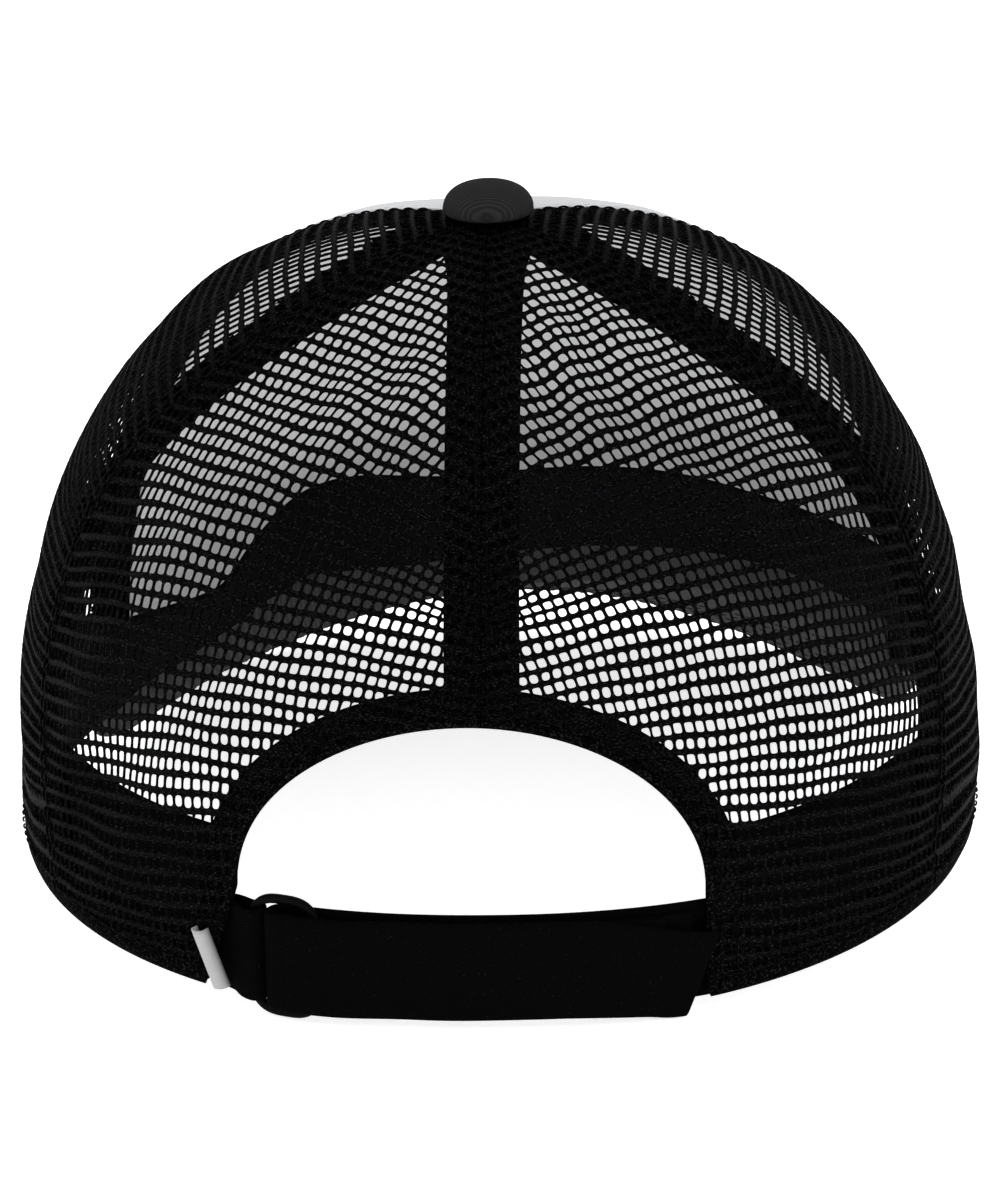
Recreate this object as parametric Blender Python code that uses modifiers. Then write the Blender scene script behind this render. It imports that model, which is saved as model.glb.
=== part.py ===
"""A five-panel trucker cap: white front, black mesh sides and back, curved brim, ringed strap.

Everything is built in the cap's own frame and then hung on one empty, which pitches the cap so
that it lies on the sides of its brim and on the low edge of its back closure, as on a table.
Units are metres, +Z is up, the brim points to -Y and the arch opening with the strap faces +Y.

Azimuth runs round the crown in degrees: 0 at the centre back, +90 at the wearer's left (+X),
180 at the centre front. Rise runs up the crown from 0 at the rim to 1 at the button.
"""
import math

import bmesh
import bpy
import numpy as np
from mathutils import Matrix, Vector

# ---- crown -----------------------------------------------------------------------------------
HALF_WIDTH = 0.0932          # across the widest line, where the mesh puffs out
FRONT_LENGTH = 0.1000        # centre of the crown to the front panel
BACK_LENGTH = 0.0956         # centre of the crown to the centre back
PLAN_POWER = 2.18            # superellipse power of the plan outline, 2 is a plain ellipse
CROWN_HEIGHT = 0.1250        # rim at the centre back to the top of the crown
APEX_Y = 0.0030
WIDEST_HEIGHT = 0.0122       # widest line above the rim
RIM_SHARE = 0.10             # share of the rise that lies below the widest line
RISE_EASE = 1.35             # spreads the rise evenly along the profile
SIDE_TUCK = 0.0008           # how far the rim sits inside the widest line at the sides
TUCK_START = 40.0            # azimuth where the tuck starts, so the strap lies on a plain wall
TUCK_SPAN = 30.0
SIDE_RIM_RISE = 0.0064       # the rim climbs from the back to the sides
FRONT_RIM_RISE = 0.0230      # and arches up over the forehead, where the curved brim is sewn on
RIM_RISE_POWER = 1.5
RIM_SKEW = 0.0090            # how far the front's left hangs below its middle
WIDEST_FOLLOW = 0.6          # share of the rim's rise that the widest line follows
BACK_POWERS = (1.39, 0.780)  # profile powers (inward, upward) at the back, side and front
SIDE_POWERS = (0.825, 0.920)
FRONT_POWERS = (1.18, 0.98)

# ---- seams and fabric ------------------------------------------------------------------------
BACK_SEAM_RIM, BACK_SEAM_MIDDLE, BACK_SEAM_TOP = 60.0, 66.0, 48.0
FRONT_SEAM = 120.0
SEAM_GAP = 0.0004            # between the cut edges of two neighbouring panels
EYE_RADIUS = 0.0034          # hole in the middle of the crown, under the button
FABRIC = 0.0006
LAYER_GAP = 0.0008
TAPE = 0.0005
TAPE_WIDTH = 0.0136
TAPE_TOP_RADIUS = 0.0165
INNER_DEPTH = FABRIC + LAYER_GAP

# ---- back arch -------------------------------------------------------------------------------
ARCH_CENTRE_X = 0.0027
ARCH_HALF_WIDTH = 0.0433
ARCH_SPRING_Z = 0.0225       # height where the half ellipse stands on its straight legs
ARCH_RISE = 0.0325
ARCH_LEG_FLARE = 0.0070      # the left leg spreads this far towards the rim, round the ring's tab
ARCH_TAPE_INSET = 0.0006
ARCH_TAPE_WIDTH = 0.0056

# ---- sweatband -------------------------------------------------------------------------------
BAND_HEIGHT = 0.0300
BAND_THICKNESS = 0.0015
BAND_DEPTH = 0.0024
BAND_LEAN = 33.0             # degrees its free edge leans in across the front
BAND_LEFT_ARC = 0.0525
BAND_RIGHT_ARC = -0.0475

# ---- brim ------------------------------------------------------------------------------------
BRIM_END_ANGLE = 63.0        # angle from the centre front where the brim runs out at the temple
BRIM_HALF_WIDTH = 0.0840
BRIM_ROOT_Y = -0.0480
BRIM_REACH = 0.1210
BRIM_PLAN_POWER = 2.6
BRIM_SLOPE = 0.39
BRIM_CURVE_RADIUS = 0.1110
BRIM_INNER_OFFSET = 0.0018   # the brim's sewn edge reaches this far under the crown
BRIM_SEAT = 0.0014           # and lies this far below the edge of the front panel
BRIM_COVER = 0.0007
BRIM_BOARD = 0.0020
BRIM_BOARD_INSET = 0.985     # share of the covers' reach
BRIM_END, BRIM_BOARD_END = 0.985, 0.970   # shares of the way to the temple

# ---- button ----------------------------------------------------------------------------------
BUTTON_RADIUS = 0.0086
BUTTON_HEIGHT = 0.0062
BUTTON_COVER = 0.0008
BUTTON_SHELL = 0.0005
BUTTON_LIFT = 0.0003
PRONG_GAUGE = 0.0005
PRONG_WIDTH = 0.0026

# ---- closure: strap, tapes, tab and ring, in arc length along the back and depth -------------
STRAP_BOTTOM, STRAP_TOP = 0.0002, 0.0194
STRAP_THICKNESS = 0.0012
STRAP_INNER_D = -0.0028
STRAP_OUTER_D = 0.0010
STRAP_RING_D = 0.0022        # the tail stands this proud where it passes over the ring
STRAP_ANCHOR_ARC = -0.0465
FOLD_ARC = 0.0365
TAIL_START_ARC = 0.0342
TAIL_GAP = 0.0005
TAIL_END_ARC = -0.0430
TAIL_END_SLANT = 0.0066
TAIL_DROP = 0.0018           # the free end hangs below the run of the strap
TAIL_NARROWING = 0.0032
RING_FLAT_ARC, RING_CLEAR_ARC = 0.0285, 0.0130
PILE_THICKNESS = 0.0008
PILE_BOTTOM, PILE_TOP = 0.0020, 0.0178
LOOP_TAPE_ARCS = (-0.0385, 0.0260)
LOOP_TAPE_D = -0.0014
HOOK_TAPE_ARCS = (-0.0330, 0.0100)
HOOK_TAPE_D = -0.0002
TAB_BOTTOM, TAB_TOP = 0.0024, 0.0174
TAB_THICKNESS = 0.0010
TAB_TURN_ARC, TAB_TURN_RADIUS = 0.0442, 0.0021
TAB_ROOT_ARC = 0.0520
RING_BAR = 0.00085
RING_HALF_HEIGHT = 0.0110
RING_HALF_WIDTH = 0.0071
RING_POWER = 3.2
RING_LEFT_ARC, RING_LEFT_D = 0.0446, -0.0009
RING_RIGHT_ARC, RING_RIGHT_D = 0.0304, -0.0003
RING_CENTRE_Z = 0.0099
TAG_ARC = 0.0518
TAG_BOTTOM, TAG_LENGTH = 0.0028, 0.0105
TAG_REACH, TAG_HALF_WIDTH, TAG_THICKNESS = 0.0028, 0.0012, 0.0004
TAG_LEAN = 0.42

# ---- how the cap lies ------------------------------------------------------------------------
PITCH = math.radians(3.545)
CAP_Y = 0.0354
CAP_Z = 0.00746


# ---- surfaces --------------------------------------------------------------------------------
def plan_radius_factor(sine, cosine, power):
    return (abs(sine) ** power + abs(cosine) ** power) ** (-1.0 / power)


def ease(value, low, high):
    t = min(max((value - low) / (high - low), 0.0), 1.0)
    return t * t * (3.0 - 2.0 * t)


def rim_height(azimuth):
    """Height of the cut edge; the soft front hangs a little lower at the wearer's left."""
    a = math.radians(azimuth)
    front = max(-math.cos(a), 0.0) ** RIM_RISE_POWER
    skew = RIM_SKEW * math.sin(a) * ease(-math.cos(a), 0.0, 0.8)
    return FRONT_RIM_RISE * front + SIDE_RIM_RISE * math.sin(a) ** 2 - skew


def crown_point(azimuth, rise):
    a = math.radians(azimuth)
    sine, cosine = math.sin(a), math.cos(a)
    back, front = max(cosine, 0.0) ** 2, max(-cosine, 0.0) ** 2
    side = 1.0 - back - front
    inward, upward = (back * b + side * s + front * f
                      for b, s, f in zip(BACK_POWERS, SIDE_POWERS, FRONT_POWERS))
    t = max(rise - RIM_SHARE, 0.0) / (1.0 - RIM_SHARE)
    turn = 0.5 * math.pi * t ** RISE_EASE
    reach = max(math.cos(turn), 0.0) ** inward
    below = max(RIM_SHARE - rise, 0.0) / RIM_SHARE
    off_back = min(max(abs((azimuth + 180.0) % 360.0 - 180.0) - TUCK_START, 0.0) / TUCK_SPAN, 1.0)
    tuck = SIDE_TUCK * off_back ** 2 * below ** 2
    k = plan_radius_factor(sine, cosine, PLAN_POWER)
    length = BACK_LENGTH if cosine > 0.0 else FRONT_LENGTH
    low = rim_height(azimuth)
    widest = WIDEST_HEIGHT + WIDEST_FOLLOW * low
    x = (HALF_WIDTH - tuck) * sine * k * reach
    y = (length - tuck) * cosine * k * reach + APEX_Y * (1.0 - reach)
    z = widest + (CROWN_HEIGHT - widest) * math.sin(turn) ** upward - (widest - low) * below
    return Vector((x, y, z))


def crown_shell(azimuth, rise, depth):
    """A point this deep inside the crown's outer face."""
    d_az, d_rise = 0.4, 0.004
    lower, upper = max(rise - d_rise, 0.0), min(rise + d_rise, 0.999)
    across = crown_point(azimuth + d_az, rise) - crown_point(azimuth - d_az, rise)
    up = crown_point(azimuth, upper) - crown_point(azimuth, lower)
    return crown_point(azimuth, rise) - depth * up.cross(across).normalized()


def spoke(azimuth, rise):
    """Distance from the crown's vertical axis."""
    p = crown_point(azimuth, rise)
    return math.hypot(p.x, p.y - APEX_Y)


def bisect(function, low, high):
    """Where a rising function crosses zero."""
    for _ in range(40):
        middle = 0.5 * (low + high)
        if function(middle) < 0.0:
            low = middle
        else:
            high = middle
    return 0.5 * (low + high)


def rise_at_height(azimuth, z):
    return bisect(lambda rise: crown_point(azimuth, rise).z - z, 0.0, 0.98)


def rise_at_spoke(azimuth, radius):
    return bisect(lambda rise: radius - spoke(azimuth, rise), RIM_SHARE, 0.9995)


def crown_address(x, z):
    """Azimuth and rise of the point at the back of the crown with this x and height."""
    azimuth = bisect(lambda a: crown_point(a, rise_at_height(a, z)).x - x, -80.0, 80.0)
    return azimuth, rise_at_height(azimuth, z)


def back_seam(rise):
    """Azimuth of the curved seam between a back and a side panel: it bows out at mid height."""
    lower = BACK_SEAM_RIM + (BACK_SEAM_MIDDLE - BACK_SEAM_RIM) * ease(rise, 0.0, 0.45)
    return lower + (BACK_SEAM_TOP - BACK_SEAM_MIDDLE) * ease(rise, 0.50, 0.95)


def beside(azimuth, rise, distance):
    """The azimuth a distance along the crown from a seam, at one rise."""
    return azimuth + math.degrees(distance / spoke(azimuth, rise))


# ---- back curve: plan outline of the closure by arc length -----------------------------------
def outline_point(azimuth, offset=0.0):
    a = math.radians(azimuth)

    def on_plan(angle):
        k = plan_radius_factor(math.sin(angle), math.cos(angle), PLAN_POWER)
        length = BACK_LENGTH if math.cos(angle) > 0.0 else FRONT_LENGTH
        return Vector((HALF_WIDTH * math.sin(angle) * k, length * math.cos(angle) * k))

    along = (on_plan(a + 0.004) - on_plan(a - 0.004)).normalized()
    return on_plan(a) + offset * Vector((-along.y, along.x))


ARC_AZIMUTHS = np.linspace(-80.0, 80.0, 641)
ARC_POINTS = np.array([outline_point(a) for a in ARC_AZIMUTHS])
ARC_STEPS = np.hypot(*np.diff(ARC_POINTS, axis=0).T)
ARC_LENGTHS = np.concatenate(([0.0], np.cumsum(ARC_STEPS)))
ARC_LENGTHS -= ARC_LENGTHS[len(ARC_LENGTHS) // 2]


def back_curve(arc, offset):
    azimuth = float(np.interp(arc, ARC_LENGTHS, ARC_AZIMUTHS))
    p = outline_point(azimuth, offset)
    return Vector((p.x, p.y, 0.0))


def arc_azimuth(arc):
    return float(np.interp(arc, ARC_LENGTHS, ARC_AZIMUTHS))


# ---- object helpers --------------------------------------------------------------------------
def make_material(name, colour, roughness, metallic=0.0):
    material = bpy.data.materials.new(name)
    material.use_nodes = True
    shader = material.node_tree.nodes["Principled BSDF"]
    shader.inputs["Base Color"].default_value = (*colour, 1.0)
    shader.inputs["Roughness"].default_value = roughness
    shader.inputs["Metallic"].default_value = metallic
    return material


def add_object(name, data, material):
    obj = bpy.data.objects.new(name, data)
    PARTS.objects.link(obj)
    obj.parent = CAP_FRAME
    data.materials.append(material)
    return obj


def solidify(obj, thickness, offset=-1.0):
    modifier = obj.modifiers.new("thickness", "SOLIDIFY")
    modifier.thickness = thickness
    modifier.offset = offset
    modifier.use_even_offset = True
    return modifier


def grid_object(name, grids, material, thickness, offset=-1.0):
    """An open surface of joined grids of points, given a thickness; columns outer, rows inner."""
    mesh = bpy.data.meshes.new(name)
    bm = bmesh.new()
    for grid in grids:
        rows = [[bm.verts.new(p) for p in column] for column in grid]
        for left, right in zip(rows, rows[1:]):
            for j in range(len(left) - 1):
                bm.faces.new((left[j], left[j + 1], right[j + 1], right[j]))
    bmesh.ops.remove_doubles(bm, verts=bm.verts, dist=0.00001)
    bm.to_mesh(mesh)
    bm.free()
    mesh.shade_smooth()
    mesh.set_sharp_from_angle(angle=math.radians(40))
    obj = add_object(name, mesh, material)
    solidify(obj, thickness, offset)
    return obj


def fractions(count):
    return [i / (count - 1) for i in range(count)]


def ribbon(name, path, heights, material, thickness):
    """A band standing on a plan path, its lower and upper edges given along the path."""
    columns = []
    for index, point in enumerate(path):
        low, high = heights(index)
        columns.append([Vector((point.x, point.y, low)), Vector((point.x, point.y, high))])
    return grid_object(name, [columns], material, thickness, offset=0.0)


# ---- crown panels ----------------------------------------------------------------------------
def crown_patch(left, right, bottoms, top_radius, depth, rows):
    """Columns of points between two seams; left and right give the azimuth at a rise."""
    columns = []
    for share, bottom in bottoms:
        middle = left(0.9) + share * (right(0.9) - left(0.9))
        top = rise_at_spoke(middle, top_radius)
        column = []
        for v in fractions(rows):
            rise = bottom + v * (top - bottom)
            azimuth = left(rise) + share * (right(rise) - left(rise))
            column.append(crown_shell(azimuth, rise, depth))
        columns.append(column)
    return columns


def full_panel(name, left, right, columns, material):
    bottoms = [(share, 0.0) for share in fractions(columns)]
    grid = crown_patch(left, right, bottoms, EYE_RADIUS, 0.0, 17)
    return grid_object(name, [grid], material, FABRIC)


def arch_point(turn, spread=0.0):
    """x and height on the arch, turn in degrees from its crown; spread moves it outwards."""
    a = math.radians(turn)
    x = ARCH_CENTRE_X + (ARCH_HALF_WIDTH + spread) * math.sin(a)
    return x, ARCH_SPRING_Z + (ARCH_RISE + spread) * math.cos(a)


def leg_x(side, z, spread=0.0):
    """x of the arch's straight leg at a height below the spring of the arch."""
    flare = ARCH_LEG_FLARE * (1.0 - z / ARCH_SPRING_Z) if side > 0 else 0.0
    return ARCH_CENTRE_X + side * (ARCH_HALF_WIDTH + spread) + flare


def back_panel(name, side, material):
    """One mesh back panel: a notch for the arch and a leg beside the strap."""
    def inner(rise):
        return beside(0.0, rise, side * 0.5 * SEAM_GAP)

    def outer(rise):
        seam = side * back_seam(rise)
        return beside(seam, rise, -side * 0.5 * SEAM_GAP)

    centre_turn = math.degrees(math.asin(-ARCH_CENTRE_X / ARCH_HALF_WIDTH))
    bottoms = []
    for step in fractions(9):
        turn = centre_turn + step * (side * 90.0 - centre_turn)
        x, z = arch_point(turn)
        azimuth, rise = crown_address(x, z)
        share = (azimuth - inner(rise)) / (outer(rise) - inner(rise))
        bottoms.append((max(share, 0.0), rise))
    corner, corner_rise = bottoms[-1]
    shoulder = []
    for step in fractions(6):
        share = corner + step * (1.0 - corner)
        azimuth = inner(corner_rise) + share * (outer(corner_rise) - inner(corner_rise))
        level = corner_rise if step == 0.0 else rise_at_height(azimuth, ARCH_SPRING_Z)
        shoulder.append((share, level))
    upper = crown_patch(inner, outer, bottoms + shoulder[1:], EYE_RADIUS, 0.0, 17)
    lower = [[] for _ in shoulder]
    for v in fractions(4):
        edge_azimuth, _ = crown_address(leg_x(side, v * ARCH_SPRING_Z), v * ARCH_SPRING_Z)
        for step, column, (share, top) in zip(fractions(6), lower, shoulder):
            rise = v * top
            first = (edge_azimuth - inner(rise)) / (outer(rise) - inner(rise))
            along = share if v == 1.0 else first + step * (1.0 - first)
            azimuth = inner(rise) + along * (outer(rise) - inner(rise))
            column.append(crown_shell(azimuth, rise, 0.0))
    if side < 0:
        upper.reverse()
        lower.reverse()
    return grid_object(name, [upper, lower], material, FABRIC)


def build_panels(mesh_fabric, white_fabric, backing):
    back_panel("back_mesh_left", 1, mesh_fabric)
    back_panel("back_mesh_right", -1, mesh_fabric)
    half = 0.5 * SEAM_GAP
    full_panel("side_mesh_left",
               lambda r: beside(back_seam(r), r, half),
               lambda r: beside(FRONT_SEAM, r, -half), 11, mesh_fabric)
    full_panel("side_mesh_right",
               lambda r: beside(-FRONT_SEAM, r, half),
               lambda r: beside(-back_seam(r), r, -half), 11, mesh_fabric)
    full_panel("front_panel",
               lambda r: beside(FRONT_SEAM, r, half),
               lambda r: beside(360.0 - FRONT_SEAM, r, -half), 23, white_fabric)
    clear = 0.5 * TAPE_WIDTH + LAYER_GAP
    bottoms = [(share, 0.01) for share in fractions(17)]
    grid = crown_patch(lambda r: beside(FRONT_SEAM, r, clear),
                       lambda r: beside(360.0 - FRONT_SEAM, r, -clear),
                       bottoms, TAPE_TOP_RADIUS, INNER_DEPTH, 19)
    grid_object("front_stiffener", [grid], backing, TAPE)


def seam_tape(name, seam, bottom, material):
    def left(rise):
        return beside(seam(rise), rise, -0.5 * TAPE_WIDTH)

    def right(rise):
        return beside(seam(rise), rise, 0.5 * TAPE_WIDTH)

    grid = crown_patch(left, right, [(s, bottom) for s in fractions(4)],
                       TAPE_TOP_RADIUS, INNER_DEPTH, 19)
    grid_object(name, [grid], material, TAPE)


def arch_tape(material):
    spreads = [ARCH_TAPE_INSET + s * ARCH_TAPE_WIDTH for s in fractions(3)]
    stations = [("leg", -1, v) for v in (0.0, 0.5)]
    stations += [("arch", 0, -90.0 + 180.0 * v) for v in fractions(25)]
    stations += [("leg", 1, v) for v in (0.5, 0.0)]
    columns = []
    for kind, side, value in stations:
        column = []
        for spread in spreads:
            if kind == "arch":
                x, z = arch_point(value, spread)
            else:
                z = 0.0008 + value * (ARCH_SPRING_Z - 0.0008)
                x = leg_x(side, z, spread)
            column.append(crown_shell(*crown_address(x, z), INNER_DEPTH))
        columns.append(column)
    grid_object("arch_tape", [columns], material, TAPE)


def build_tapes(material):
    over_arch = rise_at_height(0.0, ARCH_SPRING_Z + ARCH_RISE + ARCH_TAPE_WIDTH + 0.0020)
    seam_tape("seam_tape_centre_back", lambda r: 0.0, over_arch, material)
    seam_tape("seam_tape_back_left", back_seam, 0.01, material)
    seam_tape("seam_tape_back_right", lambda r: -back_seam(r), 0.01, material)
    seam_tape("seam_tape_front_left", lambda r: FRONT_SEAM, 0.01, material)
    seam_tape("seam_tape_front_right", lambda r: -FRONT_SEAM, 0.01, material)
    arch_tape(material)


def build_sweatband(material):
    start, end = arc_azimuth(BAND_LEFT_ARC), 360.0 + arc_azimuth(BAND_RIGHT_ARC)
    columns = []
    for share in fractions(53):
        azimuth = start + share * (end - start)
        widest = crown_point(azimuth, RIM_SHARE).to_2d()
        tuck = (widest - crown_point(azimuth, 0.0).to_2d()).length
        lean = math.radians(BAND_LEAN * ease(-math.cos(math.radians(azimuth)), 0.1, 0.8))
        column = []
        for v in fractions(4):
            z = rim_height(azimuth) + 0.0003 + v * BAND_HEIGHT * math.cos(lean)
            wall = crown_point(azimuth, rise_at_height(azimuth, z)).to_2d()
            inset = max(tuck, (widest - wall).length) + BAND_DEPTH
            plan = outline_point(azimuth, -(inset + v * BAND_HEIGHT * math.sin(lean)))
            column.append(Vector((plan.x, plan.y, z)))
        columns.append(column)
    grid_object("sweatband", [columns], material, BAND_THICKNESS)


# ---- brim ------------------------------------------------------------------------------------
def brim_sheet(x, y):
    """Height of the curved, forward-sloping sheet that the brim is bent to."""
    root_z = rim_height(180.0)
    return root_z + BRIM_SLOPE * (y + FRONT_LENGTH) - x * x / (2.0 * BRIM_CURVE_RADIUS)


def brim_top(across, out):
    """Across runs -1 to 1 from the right temple to the left, out runs 0 to 1 to the edge."""
    azimuth = 180.0 - BRIM_END_ANGLE * across
    foot = crown_point(azimuth, 0.0)
    tuck = (foot - crown_point(azimuth, RIM_SHARE)).to_2d().length
    root = outline_point(azimuth, -(tuck + BRIM_INNER_OFFSET))
    beta = math.radians(90.0 * across)
    power = 2.0 / BRIM_PLAN_POWER
    edge = Vector((math.copysign(BRIM_HALF_WIDTH * abs(math.sin(beta)) ** power, across),
                   BRIM_ROOT_Y - BRIM_REACH * max(math.cos(beta), 0.0) ** power))
    plan = root.lerp(edge, out)
    lift = foot.z - BRIM_SEAT - brim_sheet(root.x, root.y)
    return Vector((plan.x, plan.y, brim_sheet(plan.x, plan.y) + lift * (1.0 - out)))


def brim_shell(across, out, depth):
    step = 0.01
    low, high = max(out - step, 0.0), min(out + step, 1.0)
    side = brim_top(min(across + step, 1.0), out) - brim_top(max(across - step, -1.0), out)
    forward = brim_top(across, high) - brim_top(across, low)
    return brim_top(across, out) - depth * forward.cross(side).normalized()


def brim_layer(name, depth, thickness, reach, limit, material):
    columns = []
    for share in fractions(31):
        across = limit * math.sin(0.5 * math.pi * (2.0 * share - 1.0))
        columns.append([brim_shell(across, v * reach, depth) for v in fractions(8)])
    grid_object(name, [columns], material, thickness)


def build_brim(cover, board):
    board_depth = BRIM_COVER + LAYER_GAP
    under_depth = board_depth + BRIM_BOARD + LAYER_GAP
    brim_layer("brim_top_cover", 0.0, BRIM_COVER, 1.0, BRIM_END, cover)
    brim_layer("brim_board", board_depth, BRIM_BOARD, BRIM_BOARD_INSET, BRIM_BOARD_END, board)
    brim_layer("brim_under_cover", under_depth, BRIM_COVER, 1.0, BRIM_END, cover)


# ---- button ----------------------------------------------------------------------------------
def turned(name, profile, centre, material, steps=24):
    """A profile of (radius, height) turned about a vertical axis; it runs outside first."""
    mesh = bpy.data.meshes.new(name)
    mesh.from_pydata([(r, 0.0, z) for r, z in profile],
                     [(i, i + 1) for i in range(len(profile) - 1)], [])
    obj = add_object(name, mesh, material)
    obj.location = centre
    screw = obj.modifiers.new("turn", "SCREW")
    screw.steps = screw.render_steps = steps
    screw.use_merge_vertices = True
    screw.merge_threshold = 0.00001
    return obj


def dome(radius, height, base):
    """Quarter superellipse from the pole down to the foot."""
    points = []
    for i in range(7):
        a = math.radians(90.0 - 90.0 * i / 6)
        points.append((radius * math.cos(a) ** 0.8, base + (height - base) * math.sin(a) ** 0.9))
    points[0] = (0.0, height)
    return points


def build_button(cover, metal):
    top = Vector((0.0, APEX_Y, CROWN_HEIGHT + BUTTON_LIFT))
    outer = dome(BUTTON_RADIUS, BUTTON_HEIGHT, 0.0009)
    inner = dome(BUTTON_RADIUS - BUTTON_COVER, BUTTON_HEIGHT - BUTTON_COVER, 0.0006)
    foot = [(BUTTON_RADIUS - 0.0004, 0.0), (BUTTON_RADIUS - BUTTON_COVER, 0.0)]
    turned("button_cover", outer + foot + inner[::-1], top, cover)
    gap = BUTTON_COVER + 0.0003
    shell_out = dome(BUTTON_RADIUS - gap, BUTTON_HEIGHT - gap, 0.0002)
    shell_in = dome(BUTTON_RADIUS - gap - BUTTON_SHELL, BUTTON_HEIGHT - gap - BUTTON_SHELL, 0.0002)
    turned("button_shell", shell_out + shell_in[::-1], top, metal)
    button_prong(top, metal)


def button_prong(top, metal):
    """A staple: its bar sits in the button, its legs pass the crown and clinch under it."""
    bar, leg, foot = 0.0045, 0.0022, 0.0062
    high = 0.0030
    low = -(FABRIC + BUTTON_LIFT + 0.0010)
    g = PRONG_GAUGE
    half = [(0.0, high), (bar, high), (bar, high - g), (leg, high - g), (leg, low), (foot, low),
            (foot, low - g), (leg - g, low - g), (leg - g, high - g), (0.0, high - g)]
    outline = half + [(-x, z) for x, z in reversed(half[1:-1])]
    curve = bpy.data.curves.new("button_prong", "CURVE")
    curve.dimensions = "2D"
    curve.fill_mode = "BOTH"
    curve.extrude = 0.5 * PRONG_WIDTH
    spline = curve.splines.new("POLY")
    spline.points.add(len(outline) - 1)
    for point, (x, z) in zip(spline.points, outline):
        point.co = (x, z, 0.0, 1.0)
    spline.use_cyclic_u = True
    obj = add_object("button_prong", curve, metal)
    obj.location = top
    obj.rotation_euler = (math.radians(90), 0.0, 0.0)


# ---- closure ---------------------------------------------------------------------------------
def tail_depth(arc):
    return STRAP_OUTER_D + (STRAP_RING_D - STRAP_OUTER_D) * ease(arc, RING_CLEAR_ARC, RING_FLAT_ARC)


def strap_run(webbing):
    """The sewn half of the strap: anchor at the right, run to the ring, fold round its bar."""
    path = [back_curve(STRAP_ANCHOR_ARC + s * (FOLD_ARC - STRAP_ANCHOR_ARC), STRAP_INNER_D)
            for s in fractions(22)]
    middle = 0.5 * (STRAP_INNER_D + STRAP_RING_D)
    radius = 0.5 * (STRAP_RING_D - STRAP_INNER_D)
    for i in range(1, 9):
        a = math.radians(-90.0 + 180.0 * i / 8)
        path.append(back_curve(FOLD_ARC + radius * math.cos(a), middle + radius * math.sin(a)))
    path.append(back_curve(TAIL_START_ARC + TAIL_GAP, STRAP_RING_D))
    ribbon("strap_run", path, lambda i: (STRAP_BOTTOM, STRAP_TOP), webbing, STRAP_THICKNESS)


def tail_edges(share):
    """Lower and upper edge of the tail: it drops and narrows towards its free end."""
    drop = TAIL_DROP * ease(share, 0.62, 1.0)
    narrow = TAIL_NARROWING * ease(share, 0.70, 1.0)
    return STRAP_BOTTOM - drop, STRAP_TOP - drop - narrow


def strap_tail(webbing):
    columns = []
    for share in fractions(25):
        low, high = tail_edges(share)
        column = []
        for v in fractions(4):
            slant = TAIL_END_SLANT * (1.0 - v) * ease(share, 0.80, 1.0)
            arc = TAIL_START_ARC + share * (TAIL_END_ARC - TAIL_START_ARC) + slant
            point = back_curve(arc, tail_depth(arc))
            column.append(Vector((point.x, point.y, low + v * (high - low))))
        columns.append(column)
    columns.reverse()
    grid_object("strap_tail", [columns], webbing, STRAP_THICKNESS, offset=0.0)


def pile_tape(name, arcs, depth, thickness, material):
    start, end = arcs
    path = [back_curve(start + s * (end - start), depth) for s in fractions(16)]
    ribbon(name, path, lambda i: (PILE_BOTTOM, PILE_TOP), material, thickness)


def ring_tab(webbing):
    """A short web loop: out from under the left panel, round the ring's bar and back."""
    outside = [(TAB_ROOT_ARC, -0.0029), (0.0484, -0.0029), (0.0476, -0.0022), (0.0467, 0.0002)]
    turn = []
    for i in range(9):
        a = math.radians(90.0 + 180.0 * i / 8)
        turn.append((TAB_TURN_ARC + TAB_TURN_RADIUS * math.cos(a),
                     RING_LEFT_D + TAB_TURN_RADIUS * math.sin(a)))
    inside = [(0.0462, -0.0036), (0.0478, -0.0044), (TAB_ROOT_ARC, -0.0044)]
    path = [back_curve(arc, d) for arc, d in outside + turn + inside]
    path.reverse()
    ribbon("ring_tab", path, lambda i: (TAB_BOTTOM, TAB_TOP), webbing, TAB_THICKNESS)


def ring(plastic):
    left = back_curve(RING_LEFT_ARC, RING_LEFT_D)
    right = back_curve(RING_RIGHT_ARC, RING_RIGHT_D)
    centre = 0.5 * (left + right)
    along = (left - right).normalized()
    curve = bpy.data.curves.new("ring", "CURVE")
    curve.dimensions = "3D"
    curve.bevel_depth = RING_BAR
    curve.bevel_resolution = 2
    spline = curve.splines.new("POLY")
    count = 40
    spline.points.add(count - 1)
    for i, point in enumerate(spline.points):
        a = 2.0 * math.pi * i / count
        k = plan_radius_factor(math.sin(a), math.cos(a), RING_POWER)
        place = along * (RING_HALF_WIDTH * math.cos(a) * k)
        place.z = RING_CENTRE_Z + RING_HALF_HEIGHT * math.sin(a) * k
        point.co = (*(place + centre - left), 1.0)
    spline.use_cyclic_u = True
    obj = add_object("ring", curve, plastic)
    obj.location = left


def tag(ribbon_white):
    """A blank folded label whose loop stands out of the seam beside the tab."""
    radius = TAG_HALF_WIDTH
    outline = [(TAG_ARC + radius, 0.0006)]
    for i in range(7):
        a = math.radians(180.0 * i / 6)
        outline.append((TAG_ARC + radius * math.cos(a), TAG_REACH - radius + radius * math.sin(a)))
    outline.append((TAG_ARC - radius, 0.0006))
    columns = []
    for arc, d in outline:
        column = []
        for v in fractions(4):
            height = v * TAG_LENGTH
            point = back_curve(arc + TAG_LEAN * (height - 0.5 * TAG_LENGTH), d)
            column.append(Vector((point.x, point.y, TAG_BOTTOM + height)))
        columns.append(column)
    grid_object("tag", [columns], ribbon_white, TAG_THICKNESS, offset=0.0)


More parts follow.
